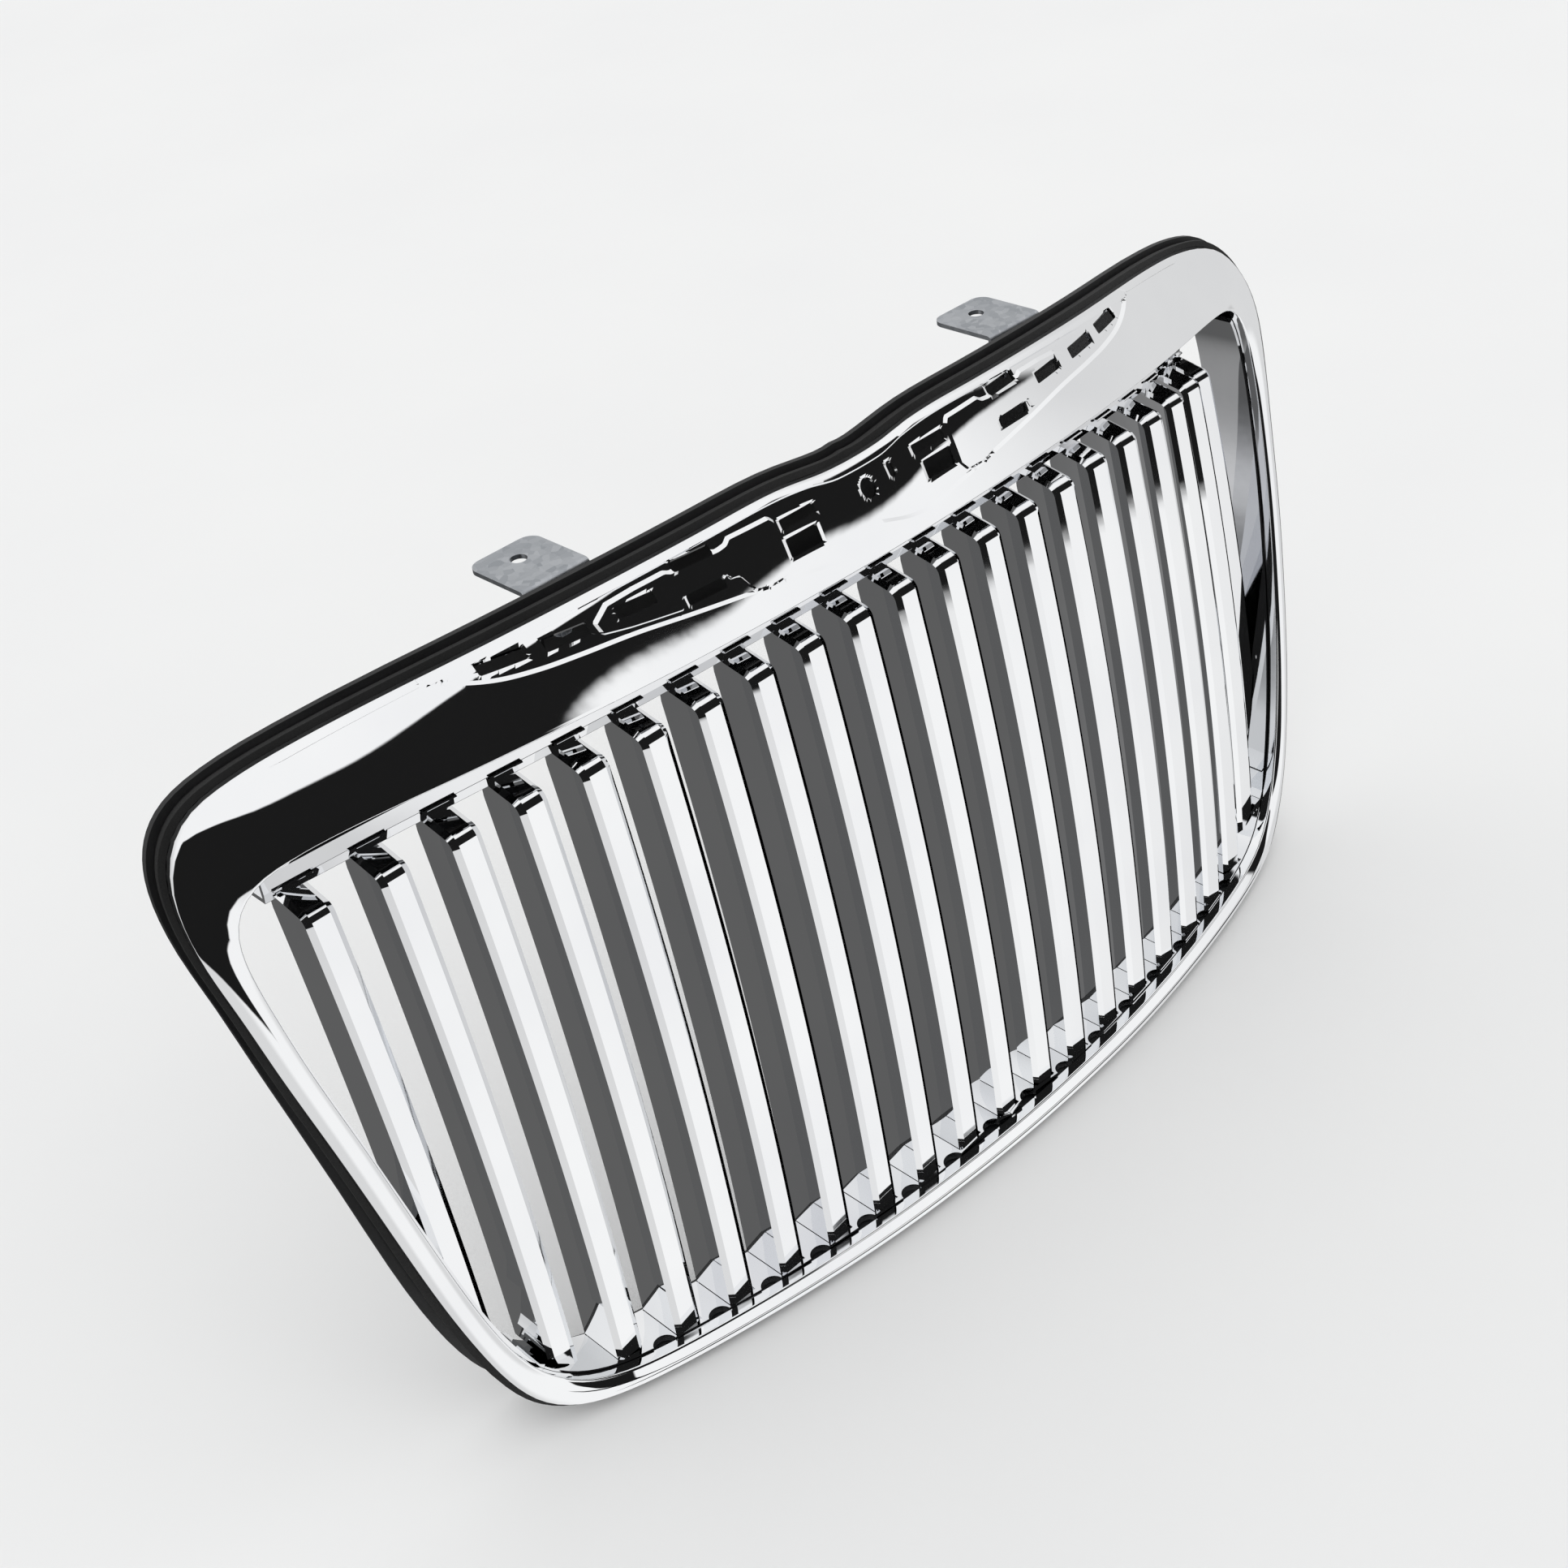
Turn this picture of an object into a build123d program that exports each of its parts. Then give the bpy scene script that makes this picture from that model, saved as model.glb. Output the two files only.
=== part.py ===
"""Front grille: a bowed chrome surround, 21 upright blades between two rails, and the carrier behind them.

Millimetres. X runs across the grille, +Y to the rear, +Z up. X = 0 is the plane of symmetry.
"""

import math
import os

from build123d import *

os.makedirs("parts", exist_ok=True)

# Blades
BLADE_COUNT = 21
BLADE_PITCH = 34.0
BLADE_WIDTH = 17.1
BLADE_DEPTH = 30.0
BLADE_CHAMFER_WIDTH = 3.3
BLADE_CHAMFER_DEPTH = 1.9
BLADE_WALL = 2.4
BLADE_FRONT_WALL = 4.4
BLADE_TOP_WALL = 2.6
BLADE_HOOK_RADIUS = 6.4
BLADE_TOP_RISE = 15.0
BLADE_BULGE = 7.0
BLADE_FOOT_Z = -347.0
BLADE_FOOT_Y = -41.5
POCKET_CLEARANCE = 0.3

# Half of the surround's ring, from the middle of the top to the middle of the bottom. Each station has the
# opening's edge (x, y, z) and the outer edge (x, y, z).
STATIONS = [
    ((0, 6, 25.5), (0, 30.5, 71.5)),
    ((22, 6.2, 25.5), (22, 30.7, 72.4)),
    ((45, 6.8, 25.5), (45, 31.6, 75)),
    ((90, 8.6, 25.5), (91, 34, 75)),
    ((135, 11.6, 25.5), (137, 38.8, 72.5)),
    ((180, 16, 25.5), (184, 46.4, 68.8)),
    ((225, 22.2, 25), (232, 56.8, 64)),
    ((270, 30.8, 23.6), (281, 70, 58)),
    ((306, 40, 21.4), (323, 81, 51.8)),
    ((334, 48.8, 17.6), (355, 87, 46)),
    ((354, 55.6, 12.6), (379, 86.6, 39)),
    ((368.5, 60.4, 5.4), (393, 82.4, 27.5)),
    ((378, 62.2, -4.6), (400, 75.6, 13)),
    ((382.6, 61, -17.4), (402, 69, -3)),
    ((383.4, 57.2, -34), (400.8, 63, -22)),
    ((381.4, 51.4, -56), (396.8, 56.2, -46)),
    ((377.2, 43.6, -87), (391.2, 47.8, -80)),
    ((369, 32.4, -132), (382.6, 35.8, -127)),
    ((359.4, 21.6, -185), (372.6, 24, -182)),
    ((349.6, 12.8, -236), (362, 13.6, -238)),
    ((340, 6.6, -276), (351.4, 6.2, -281)),
    ((331.2, 2.2, -301), (341, 1, -311.4)),
    ((320, -2.6, -320), (327.6, -4.2, -333.6)),
    ((305, -8, -333.4), (310.6, -10.6, -345.4)),
    ((286, -13.6, -341.4), (289, -17.4, -350.8)),
    ((262, -19.6, -345), (263.4, -24.6, -352.4)),
    ((225, -28, -346), (226, -33.6, -352.6)),
    ((170, -38.6, -346), (170, -44.4, -352.6)),
    ((100, -47.6, -346), (100, -53.6, -352.6)),
    ((50, -50.8, -346), (50, -56.8, -352.6)),
    ((0, -52, -346), (0, -58, -352.6)),
]
TOP_END = 9
BAR_START = 15
SIDE_END = 22
CROWN_POWER = 2.5
CROWN_POINTS = 7
BAR_BULGE = 2.0
SKIN = 2.6
LIP_RETURN = 6.5
OUTER_RETURN_TOP = 12.0
OUTER_RETURN_BOTTOM = 42.0
DEEPER_FROM = 16
DEEPEST_AT = 23

# Carrier and seal
CARRIER_THICKNESS = 3.2
CARRIER_GAP = 1.0
CARRIER_FLANGE = 5.0
CARRIER_LOW_TOP = -12.0
CARRIER_LOW_SIDE = 1.6
RAMP_START = 6
SEAL_WIDTH = 3.5
SEAL_DEPTH = 7.0
SEAL_SETBACK = 3.5

# Badge pocket, in the front view
POCKET_DEPTH = 1.4
POCKET_TIP = (258, 57.6)
POCKET_LOWER = [
    (258, 56.8),
    (233, 53),
    (205, 50.3),
    (160, 48),
    (128, 45),
    (97, 41.5),
    (60, 37),
    (33, 34.2),
    (18, 36),
    (0, 40.2),
]
POCKET_TOP_INSET = 3.2
POCKET_RIM_X = [0, 22, 45, 91, 137, 184, 232]
SLOT_RADIUS = 0.8
SLOTS = [
    (48.5, 62.5, 24, 5),
    (50.6, 51, 21.5, 9.5),
    (115, 67.6, 24, 4.4),
    (114.5, 51.4, 23.5, 5.4),
    (153, 59.8, 22, 5.6),
    (191, 58.3, 23.5, 5.6),
    (224, 58.6, 24, 5),
]
PADS = [(119.25, 58.25, 109.5, 16.5, 6), (78.75, 55.15, 28.5, 26.3, 4)]
BADGE_HOLE_RADIUS = 5.0
BADGE_HOLE_Z = 57.5
BADGE_BOSS_RADIUS = 7.5
BADGE_BORE_LENGTH = 12.0
SLOT_REACH = 9.0
FAR = 240.0
CORNER_REACH = 45.0
TRIM_FROM = 300.0
TRIM_CLEARANCE = 0.5
KEY_SLOT = (18.5, 60, 8, 4)

# Rails
UPPER_RAIL_X = [0, 45, 90, 135, 180, 225, 265, 300, 330, 352, 361]
UPPER_RAIL_SETBACK = 22.6
RAIL_LIFT = 10.0
RAIL_NOTCH_HEIGHT = 13.0
RAIL_WALL = 2.4
RAIL_EASE = 1.0
RAIL_LEAST_DEPTH = 7.5
RAIL_FLOOR = 2.4
SIDE_RAIL_START = 12
SIDE_RAIL_WALL = 2.6
SIDE_RAIL_DEPTH = 34.0
LOWER_RAIL_START = 22
LOWER_RAIL_DROP = 3.2
LOWER_RAIL_LAST_BLADE = 300.0
POCKET_HEIGHT = 8.0
SCALLOP_RADIUS = 7.0
SCALLOP_FORWARD = 5.0

# Fastenings
BOSS_X = [84, 136, 212, 262]
BOSS_DROP = 13.0
BOSS_BITE = 1.2
BOSS_EASE = 0.6
BOSS_RADIUS = 4.0
PILOT_RADIUS = 1.4
PILOT_DEPTH = 14.0
SCREW_RADIUS = 1.35
SCREW_SEAT = 6.0
SCREW_SEAT_RADIUS = 6.0
SCREW_HEAD_RADIUS = 4.2
SCREW_HEAD_HEIGHT = 2.6
SCREW_LENGTH = 13.0
BRACKET_X = 170.0
BRACKET_WIDTH = 42.0
BRACKET_THICKNESS = 2.5
BRACKET_HEIGHT = 34.0
BRACKET_DROP = 14.0
BRACKET_REACH = 46.0
BRACKET_BOLT_SPACING = 24.0
BRACKET_BOLT_RADIUS = 3.0
BRACKET_HOLE_RADIUS = 4.5
NUT_FLATS = 10.0
NUT_HEIGHT = 4.0
CLIP_STATIONS = [(30, 1), (28, 1), (28, -1), (27, 1), (27, -1)]
CLIP_WIDTH = 10.0
CLIP_SHEET = 0.8
CLIP_HEIGHT = 4.5
CLIP_EASE = 0.25
PIN_X = 58.0
PIN_Z = 56.0
PIN_RADIUS = 5.0
PIN_LENGTH = 18.0
PIN_NECK_RADIUS = 4.0
PIN_NECK_LENGTH = 5.5


def blade_x(index):
    """X of a blade's middle."""
    return (index - (BLADE_COUNT - 1) / 2) * BLADE_PITCH


def blade_top(x):
    """Front corner of the blade row at its top bend."""
    t = (x / 340) ** 2
    return 32.7 * t + 27.2 * t**2 + 4.9 * t**3, -(8.5 * t + 12.1 * t**2 + 11.2 * t**3)


def blade_foot_y(x):
    """Front corner of the blade row at its foot."""
    t = (x / 340) ** 2
    return BLADE_FOOT_Y + 54.5 * t - 13.3 * t**2 + 24.3 * t**3


def edge_at(x, column, first, last):
    """Point of the opening's edge or the outer edge above or below a given x."""
    for near, far in zip(STATIONS[first:last], STATIONS[first + 1 : last + 1]):
        low, high = sorted((near[column][0], far[column][0]))
        if low <= abs(x) <= high:
            share = (abs(x) - near[column][0]) / (far[column][0] - near[column][0])
            return [a + share * (b - a) for a, b in zip(near[column], far[column])]
    return list(STATIONS[last][column])


def blade_foot_z(x):
    """Foot of a blade, which stops behind the opening's lower edge or its corner."""
    side = -1 if abs(x) > TRIM_FROM else 1
    edge = edge_at(abs(x) + side * BLADE_WIDTH / 2, 0, SIDE_END - 4, len(STATIONS) - 1)
    return max(BLADE_FOOT_Z, edge[2])


def skin_y(x, z):
    """Y of the top band's front skin at a point of the front view."""
    inner = edge_at(x, 0, 0, TOP_END + 1)
    outer = edge_at(x, 1, 0, TOP_END)
    share = min(max((z - inner[2]) / (outer[2] - inner[2]), 0), 1)
    back = 1 - (1 - share**CROWN_POWER) ** (1 / CROWN_POWER)
    return inner[1] + (outer[1] - inner[1]) * back


def outer_return(station):
    """Depth of the surround's outer wall, deeper along the bottom."""
    share = min(max((station - DEEPER_FROM) / (DEEPEST_AT - DEEPER_FROM), 0), 1)
    return OUTER_RETURN_TOP + share * (OUTER_RETURN_BOTTOM - OUTER_RETURN_TOP)


def carrier_front(station):
    """Y of the carrier's front face at a station."""
    return STATIONS[station][1][1] + outer_return(station) + CARRIER_GAP


def top_carrier_y(x):
    """Y of the carrier's front face above a given x of the top band."""
    return edge_at(x, 1, 0, TOP_END)[1] + OUTER_RETURN_TOP + CARRIER_GAP


def boss_z(x):
    """Height of a screw boss behind the top band."""
    return edge_at(x, 1, 0, TOP_END)[2] - BOSS_DROP


def station_plane(station):
    """Plane through both edges of a station. Its x runs outward and its y to the rear."""
    inner, outer = STATIONS[station]
    outward = Vector(outer[0] - inner[0], 0, outer[2] - inner[2])
    if station in (0, len(STATIONS) - 1):
        outward = Vector(0, 0, outward.Z)
    normal = outward.normalized().cross(Vector(0, 1, 0))
    return Plane(origin=(inner[0], 0, inner[2]), x_dir=outward.normalized(), z_dir=normal)


def station_width(station):
    """Distance from the opening's edge to the outer edge in the front view."""
    inner, outer = STATIONS[station]
    return math.hypot(outer[0] - inner[0], outer[2] - inner[2])


def crown(station, sink=0.0, margin=0.0):
    """Points of the front skin: a rounded band along the top, easing into a slim domed bar."""
    inner, outer = STATIONS[station]
    width = station_width(station) - 2 * margin
    rise = outer[1] - inner[1]
    band = min(max((BAR_START - station) / (BAR_START - TOP_END), 0), 1)
    points = []
    for step in range(CROWN_POINTS):
        angle = math.radians(90 * step / (CROWN_POINTS - 1))
        along = math.sin(angle) ** (2 / CROWN_POWER)
        round_back = 1 - max(math.cos(angle), 0) ** (2 / CROWN_POWER)
        back = band * round_back + (1 - band) * along
        bulge = (1 - band) * BAR_BULGE * 4 * along * (1 - along)
        points.append((margin + width * along, inner[1] + sink + rise * back - bulge))
    return points


def front_plane(x, y, z):
    """Plane at a point, facing the front."""
    return Plane(origin=(x, y, z), x_dir=(1, 0, 0), z_dir=(0, -1, 0))


def rear_plane(x, y, z):
    """Plane at a point, facing the rear."""
    return Plane(origin=(x, y, z), x_dir=(1, 0, 0), z_dir=(0, 1, 0))


def ring_loft(section, first, last):
    """Loft a section along half of the ring, as a solid on the +X side."""
    with BuildPart() as half:
        for station in range(first, last + 1):
            with BuildSketch(station_plane(station)):
                with BuildLine():
                    section(station)
                make_face()
        loft()
    return half.part


def surround_section(station):
    """Channel: front skin, short lip at the opening and a deeper wall at the outer edge."""
    skin = crown(station)
    inside = crown(station, sink=SKIN, margin=min(SKIN, station_width(station) / 2 - 0.9))
    lip_end = skin[0][1] + LIP_RETURN
    wall_end = skin[-1][1] + outer_return(station)
    Spline(*skin)
    Polyline(skin[-1], (skin[-1][0], wall_end), (inside[-1][0], wall_end), inside[-1])
    Spline(*reversed(inside))
    Polyline(inside[0], (inside[0][0], lip_end), (skin[0][0], lip_end), skin[0])


def pocket_section(station):
    """Slice just above the front skin and down to the pocket's floor."""
    floor = crown(station, sink=POCKET_DEPTH)
    above = [(x, y - 4 * POCKET_DEPTH) for x, y in floor]
    Spline(*floor)
    Line(floor[-1], above[-1])
    Spline(*reversed(above))
    Line(above[0], floor[0])


def carrier_section(station):
    """Flat strip behind the surround, with a flange beyond the outer edge."""
    front = carrier_front(station)
    ramp = min(max((station - RAMP_START) / (BAR_START - RAMP_START), 0), 1)
    low = CARRIER_LOW_TOP + ramp * (CARRIER_LOW_SIDE - CARRIER_LOW_TOP)
    high = station_width(station) + CARRIER_FLANGE
    back = front + CARRIER_THICKNESS
    Polyline((low, front), (high, front), (high, back), (low, back), close=True)


def seal_section(station):
    """Rubber strip along the outer wall, with a thin lip at its front."""
    low = station_width(station) + 0.1
    high = low + SEAL_WIDTH
    front = STATIONS[station][1][1] + SEAL_SETBACK
    rear = front + SEAL_DEPTH
    tip = [(high, front + 1.5), (high, front + 3.5)]
    Polyline((low, front), *tip, (low + 1.8, rear), (low, rear), close=True)


def side_rail_section(station):
    """Deep wall of the insert beside the first blade."""
    front = STATIONS[station][0][1] + LIP_RETURN + 0.5
    back = front + SIDE_RAIL_DEPTH
    Polyline((-SIDE_RAIL_WALL, front), (0.4, front), (0.4, back), (-SIDE_RAIL_WALL, back), close=True)


def outside_section(station):
    """Everything beyond the insert's side wall, for trimming the outermost blades."""
    inset = -SIDE_RAIL_WALL - TRIM_CLEARANCE
    Polyline((inset, -FAR), (CORNER_REACH, -FAR), (CORNER_REACH, FAR), (inset, FAR), close=True)


def lower_rail_section(station):
    """Flat bar behind the bottom lip."""
    front = STATIONS[station][0][1] + LIP_RETURN + 0.4
    back = carrier_front(station) - CARRIER_GAP
    Polyline((-1.5, front), (LOWER_RAIL_DROP, front), (LOWER_RAIL_DROP, back), (-1.5, back), close=True)


def badge_bore_span():
    """Y where the badge bore opens in the pocket's sloping floor, and Y of its rear end."""
    start = skin_y(0, BADGE_HOLE_Z - BADGE_HOLE_RADIUS) + POCKET_DEPTH
    return start, skin_y(0, BADGE_HOLE_Z) + BADGE_BORE_LENGTH


def make_surround():
    """Plated moulding: channel-shaped ring with the badge pocket, clip slots and screw bosses."""
    half = ring_loft(surround_section, 0, len(STATIONS) - 1)
    pocket_slice = ring_loft(pocket_section, 0, TOP_END)
    with BuildPart() as pocket:
        with BuildSketch(Plane.XZ.offset(FAR)):
            with BuildLine():
                rim = [(x, edge_at(x, 1, 0, TOP_END)[2] - POCKET_TOP_INSET) for x in POCKET_RIM_X]
                Spline(*rim, POCKET_TIP)
                Line(POCKET_TIP, POCKET_LOWER[0])
                Spline(*POCKET_LOWER)
                Line(POCKET_LOWER[-1], rim[0])
            make_face()
            for x, z, width, height, radius in PADS:
                with Locations((x, z)):
                    RectangleRounded(width, height, radius, mode=Mode.SUBTRACT)
        extrude(amount=-2 * FAR)
        add(pocket_slice, mode=Mode.INTERSECT)
    with BuildPart() as surround:
        add(half)
        for x in BOSS_X:
            rear = top_carrier_y(x - BOSS_RADIUS) - BOSS_EASE
            with BuildSketch(front_plane(x, rear, boss_z(x))):
                Circle(BOSS_RADIUS)
            extrude(amount=rear - skin_y(x, boss_z(x)) - BOSS_BITE)
        add(pocket.part, mode=Mode.SUBTRACT)
        for x in BOSS_X:
            with BuildSketch(front_plane(x, top_carrier_y(x), boss_z(x))):
                Circle(PILOT_RADIUS)
            extrude(amount=PILOT_DEPTH, mode=Mode.SUBTRACT)
        for x, z, width, height in SLOTS:
            with BuildSketch(front_plane(x, skin_y(x, z) - SLOT_REACH, z)):
                RectangleRounded(width, height, SLOT_RADIUS)
            extrude(amount=-2 * SLOT_REACH, mode=Mode.SUBTRACT)
        mirror(about=Plane.YZ)
        skin = skin_y(0, BADGE_HOLE_Z)
        with BuildSketch(front_plane(0, badge_bore_span()[1], BADGE_HOLE_Z)):
            Circle(BADGE_BOSS_RADIUS)
        extrude(amount=BADGE_BORE_LENGTH - POCKET_DEPTH - 0.4)
        with BuildSketch(front_plane(0, skin - SLOT_REACH, BADGE_HOLE_Z)):
            Circle(BADGE_HOLE_RADIUS)
            with Locations((KEY_SLOT[0], KEY_SLOT[1] - BADGE_HOLE_Z)):
                SlotOverall(KEY_SLOT[2], KEY_SLOT[3], rotation=90)
        extrude(amount=-(SLOT_REACH + BADGE_BORE_LENGTH + 1), mode=Mode.SUBTRACT)
    return surround.part


def make_blade(index, trim):
    """Upright blade: bowed front edge, hooked back at the top, chamfered on both front corners."""
    x = blade_x(index)
    top_y, top_z = blade_top(x)
    foot_y = blade_foot_y(x)
    foot_z = blade_foot_z(x)

    def front(z):
        share = (top_z - z) / (top_z - BLADE_FOOT_Z)
        bulge = BLADE_BULGE * 4 * share * (1 - share)
        return top_y + share * (foot_y - top_y) - bulge - BLADE_CHAMFER_DEPTH

    middle_z = (top_z + foot_z) / 2
    lean = math.atan2(front(top_z) - front(top_z - 1), 1)
    rise = math.radians(BLADE_TOP_RISE)
    hook_y = front(top_z) + BLADE_HOOK_RADIUS * (math.cos(lean) - math.sin(rise))
    hook_z = top_z + BLADE_HOOK_RADIUS * (math.cos(rise) - math.sin(lean))
    back_y = front(top_z) + BLADE_DEPTH
    back_z = hook_z + (back_y - hook_y) * math.tan(rise)
    with BuildPart() as blade:
        with BuildSketch(Plane.YZ.offset(x - BLADE_WIDTH / 2)) as profile_sketch:
            with BuildLine():
                ThreePointArc((front(foot_z), foot_z), (front(middle_z), middle_z), (front(top_z), top_z))
                upward = (math.sin(lean), math.cos(lean))
                hook = TangentArc((front(top_z), top_z), (hook_y, hook_z), tangent=upward)
                Polyline(hook @ 1, (back_y, back_z), (back_y, top_z))
                ThreePointArc(
                    (back_y, top_z),
                    (front(middle_z) + BLADE_DEPTH, middle_z),
                    (front(foot_z) + BLADE_DEPTH, foot_z),
                )
                Line((front(foot_z) + BLADE_DEPTH, foot_z), (front(foot_z), foot_z))
            make_face()
        extrude(amount=BLADE_WIDTH)
        profile = profile_sketch.sketch.face()
        for outermost in (0, -1):
            side = blade.faces().sort_by(Axis.X)[outermost]
            curved = side.edges().filter_by(GeomType.CIRCLE).sort_by(SortBy.LENGTH)
            front_edge = curved[1:].sort_by(Axis.Y)[0]
            top_edge = side.edges().filter_by(GeomType.LINE).sort_by(Axis.Z)[-1]
            corner = [curved[0], front_edge, top_edge]
            chamfer(corner, BLADE_CHAMFER_DEPTH, BLADE_CHAMFER_WIDTH, reference=side)
        core = profile.moved(Location((BLADE_WALL, BLADE_FRONT_WALL, -BLADE_TOP_WALL)))
        extrude(core, amount=BLADE_WIDTH - 2 * BLADE_WALL, dir=(1, 0, 0), mode=Mode.SUBTRACT)
        if abs(x) > TRIM_FROM:
            add(trim if x > 0 else mirror(trim, about=Plane.YZ), mode=Mode.SUBTRACT)
    return blade.part


def make_upper_rail():
    """Open-topped channel under the surround's top lip, which takes the blades' hooked tops."""
    with BuildPart() as rail:
        for x in UPPER_RAIL_X:
            top_y, top_z = blade_top(x)
            back = top_carrier_y(x) - RAIL_EASE
            front = min(top_y + UPPER_RAIL_SETBACK, back - RAIL_LEAST_DEPTH)
            low = top_z + RAIL_LIFT
            high = edge_at(x, 0, 0, TOP_END + 2)[2] - 1
            with BuildSketch(Plane.YZ.offset(x)):
                with BuildLine():
                    Polyline(
                        (front, high),
                        (front, low),
                        (back, low),
                        (back, high),
                        (back - RAIL_WALL, high),
                        (back - RAIL_WALL, low + RAIL_FLOOR),
                        (front + RAIL_WALL, low + RAIL_FLOOR),
                        (front + RAIL_WALL, high),
                        close=True,
                    )
                make_face()
        loft()
        mirror(about=Plane.YZ)
        for index in range(BLADE_COUNT):
            x = blade_x(index)
            front = blade_top(x)[0] - BLADE_CHAMFER_DEPTH
            with Locations((x, front, blade_top(x)[1])):
                Box(
                    BLADE_WIDTH + 2 * POCKET_CLEARANCE,
                    BLADE_DEPTH + POCKET_CLEARANCE,
                    RAIL_NOTCH_HEIGHT,
                    align=(Align.CENTER, Align.MIN, Align.MIN),
                    mode=Mode.SUBTRACT,
                )
    return rail.part


def make_lower_rail():
    """Flat bar along the bottom with a socket for each blade and a scallop in each gap."""
    half = ring_loft(lower_rail_section, LOWER_RAIL_START, len(STATIONS) - 1)
    with BuildPart() as rail:
        add(half)
        mirror(about=Plane.YZ)
        for index in range(BLADE_COUNT):
            x = blade_x(index)
            if abs(x) > LOWER_RAIL_LAST_BLADE:
                continue
            with Locations((x, blade_foot_y(x) - BLADE_CHAMFER_DEPTH, blade_foot_z(x))):
                Box(
                    BLADE_WIDTH + 2 * POCKET_CLEARANCE,
                    BLADE_DEPTH + POCKET_CLEARANCE,
                    POCKET_HEIGHT,
                    align=(Align.CENTER, Align.MIN, Align.MIN),
                    mode=Mode.SUBTRACT,
                )
        for index in range(BLADE_COUNT - 1):
            x = blade_x(index + 0.5)
            if abs(x) > LOWER_RAIL_LAST_BLADE - BLADE_PITCH:
                continue
            with Locations((x, blade_foot_y(x) - SCALLOP_FORWARD, BLADE_FOOT_Z)):
                Cylinder(SCALLOP_RADIUS, 4 * POCKET_HEIGHT, mode=Mode.SUBTRACT)
    return rail.part


def make_side_rail():
    """Right-hand side wall of the insert."""
    return ring_loft(side_rail_section, SIDE_RAIL_START, LOWER_RAIL_START)


def make_carrier():
    """Black ring that closes the surround's channel, with screw holes, bracket pads and locating pins."""
    half = ring_loft(carrier_section, 0, len(STATIONS) - 1)
    with BuildPart() as carrier:
        add(half)
        for x in BOSS_X:
            seat = top_carrier_y(x) + SCREW_SEAT
            with BuildSketch(front_plane(x, seat, boss_z(x))):
                Circle(SCREW_SEAT_RADIUS)
            extrude(amount=SCREW_SEAT - 1)
        pad_y = bracket_seat_y()
        with Locations((BRACKET_X, pad_y, bracket_z())):
            Box(
                BRACKET_WIDTH + 2,
                pad_y - top_carrier_y(BRACKET_X - BRACKET_WIDTH / 2) - 1,
                BRACKET_HEIGHT - 10,
                align=(Align.CENTER, Align.MAX, Align.CENTER),
            )
        neck_start = top_carrier_y(PIN_X) + 1
        with BuildSketch(rear_plane(PIN_X, neck_start, PIN_Z)):
            Circle(PIN_NECK_RADIUS)
        extrude(amount=PIN_NECK_LENGTH)
        with BuildSketch(rear_plane(PIN_X, neck_start + PIN_NECK_LENGTH, PIN_Z)):
            Circle(PIN_RADIUS)
        extrude(amount=PIN_LENGTH)
        for x in BOSS_X:
            seat = top_carrier_y(x) + SCREW_SEAT
            with BuildSketch(front_plane(x, seat, boss_z(x))):
                Circle(SCREW_RADIUS + 0.3)
            extrude(amount=4 * SCREW_SEAT, mode=Mode.SUBTRACT)
        for side in (-1, 1):
            bolt_x = BRACKET_X + side * BRACKET_BOLT_SPACING / 2
            with BuildSketch(front_plane(bolt_x, pad_y, bracket_z())):
                Circle(BRACKET_BOLT_RADIUS + 0.25)
            extrude(amount=FAR, mode=Mode.SUBTRACT)
        mirror(about=Plane.YZ)
    return carrier.part


def make_seal():
    """Rubber strip right round the surround."""
    half = ring_loft(seal_section, 0, len(STATIONS) - 1)
    with BuildPart() as seal:
        add(half)
        mirror(about=Plane.YZ)
    return seal.part


def bracket_z():
    """Height of the bracket's upright leg."""
    return edge_at(BRACKET_X, 1, 0, TOP_END)[2] - BRACKET_DROP


def bracket_seat_y():
    """Y of the flat pad behind the carrier that the bracket sits on."""
    return top_carrier_y(BRACKET_X + BRACKET_WIDTH / 2) + CARRIER_THICKNESS + 1


def make_bracket():
    """Right-hand steel stay: an upright leg on the carrier and a level leg with the body bolt hole."""
    seat = bracket_seat_y() + 0.05
    low = bracket_z() - BRACKET_HEIGHT / 2
    high = low + BRACKET_HEIGHT
    with BuildPart() as bracket:
        with BuildSketch(Plane.YZ.offset(BRACKET_X - BRACKET_WIDTH / 2)):
            with BuildLine():
                leg = Polyline((seat, low), (seat, high), (seat + BRACKET_REACH, high))
                inner = Polyline(
                    (seat + BRACKET_REACH, high - BRACKET_THICKNESS),
                    (seat + BRACKET_THICKNESS, high - BRACKET_THICKNESS),
                    (seat + BRACKET_THICKNESS, low),
                )
                Line(leg @ 1, inner @ 0)
                Line(inner @ 1, leg @ 0)
            make_face()
        extrude(amount=BRACKET_WIDTH)
        bend = bracket.edges().filter_by(Axis.X).group_by(Axis.Z)[-1].sort_by(Axis.Y)[0]
        fillet(bend, BRACKET_THICKNESS + 1)
        end = bracket.edges().filter_by(Axis.Z).group_by(Axis.Y)[-1]
        fillet(end, 8)
        with Locations((BRACKET_X, seat + BRACKET_REACH - 16, high)):
            Cylinder(BRACKET_HOLE_RADIUS, 4 * BRACKET_THICKNESS, mode=Mode.SUBTRACT)
        for side in (-1, 1):
            bolt_x = BRACKET_X + side * BRACKET_BOLT_SPACING / 2
            with BuildSketch(rear_plane(bolt_x, seat - 1, bracket_z())):
                Circle(BRACKET_BOLT_RADIUS + 0.25)
            extrude(amount=BRACKET_THICKNESS + 2, mode=Mode.SUBTRACT)
    return bracket.part


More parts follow.
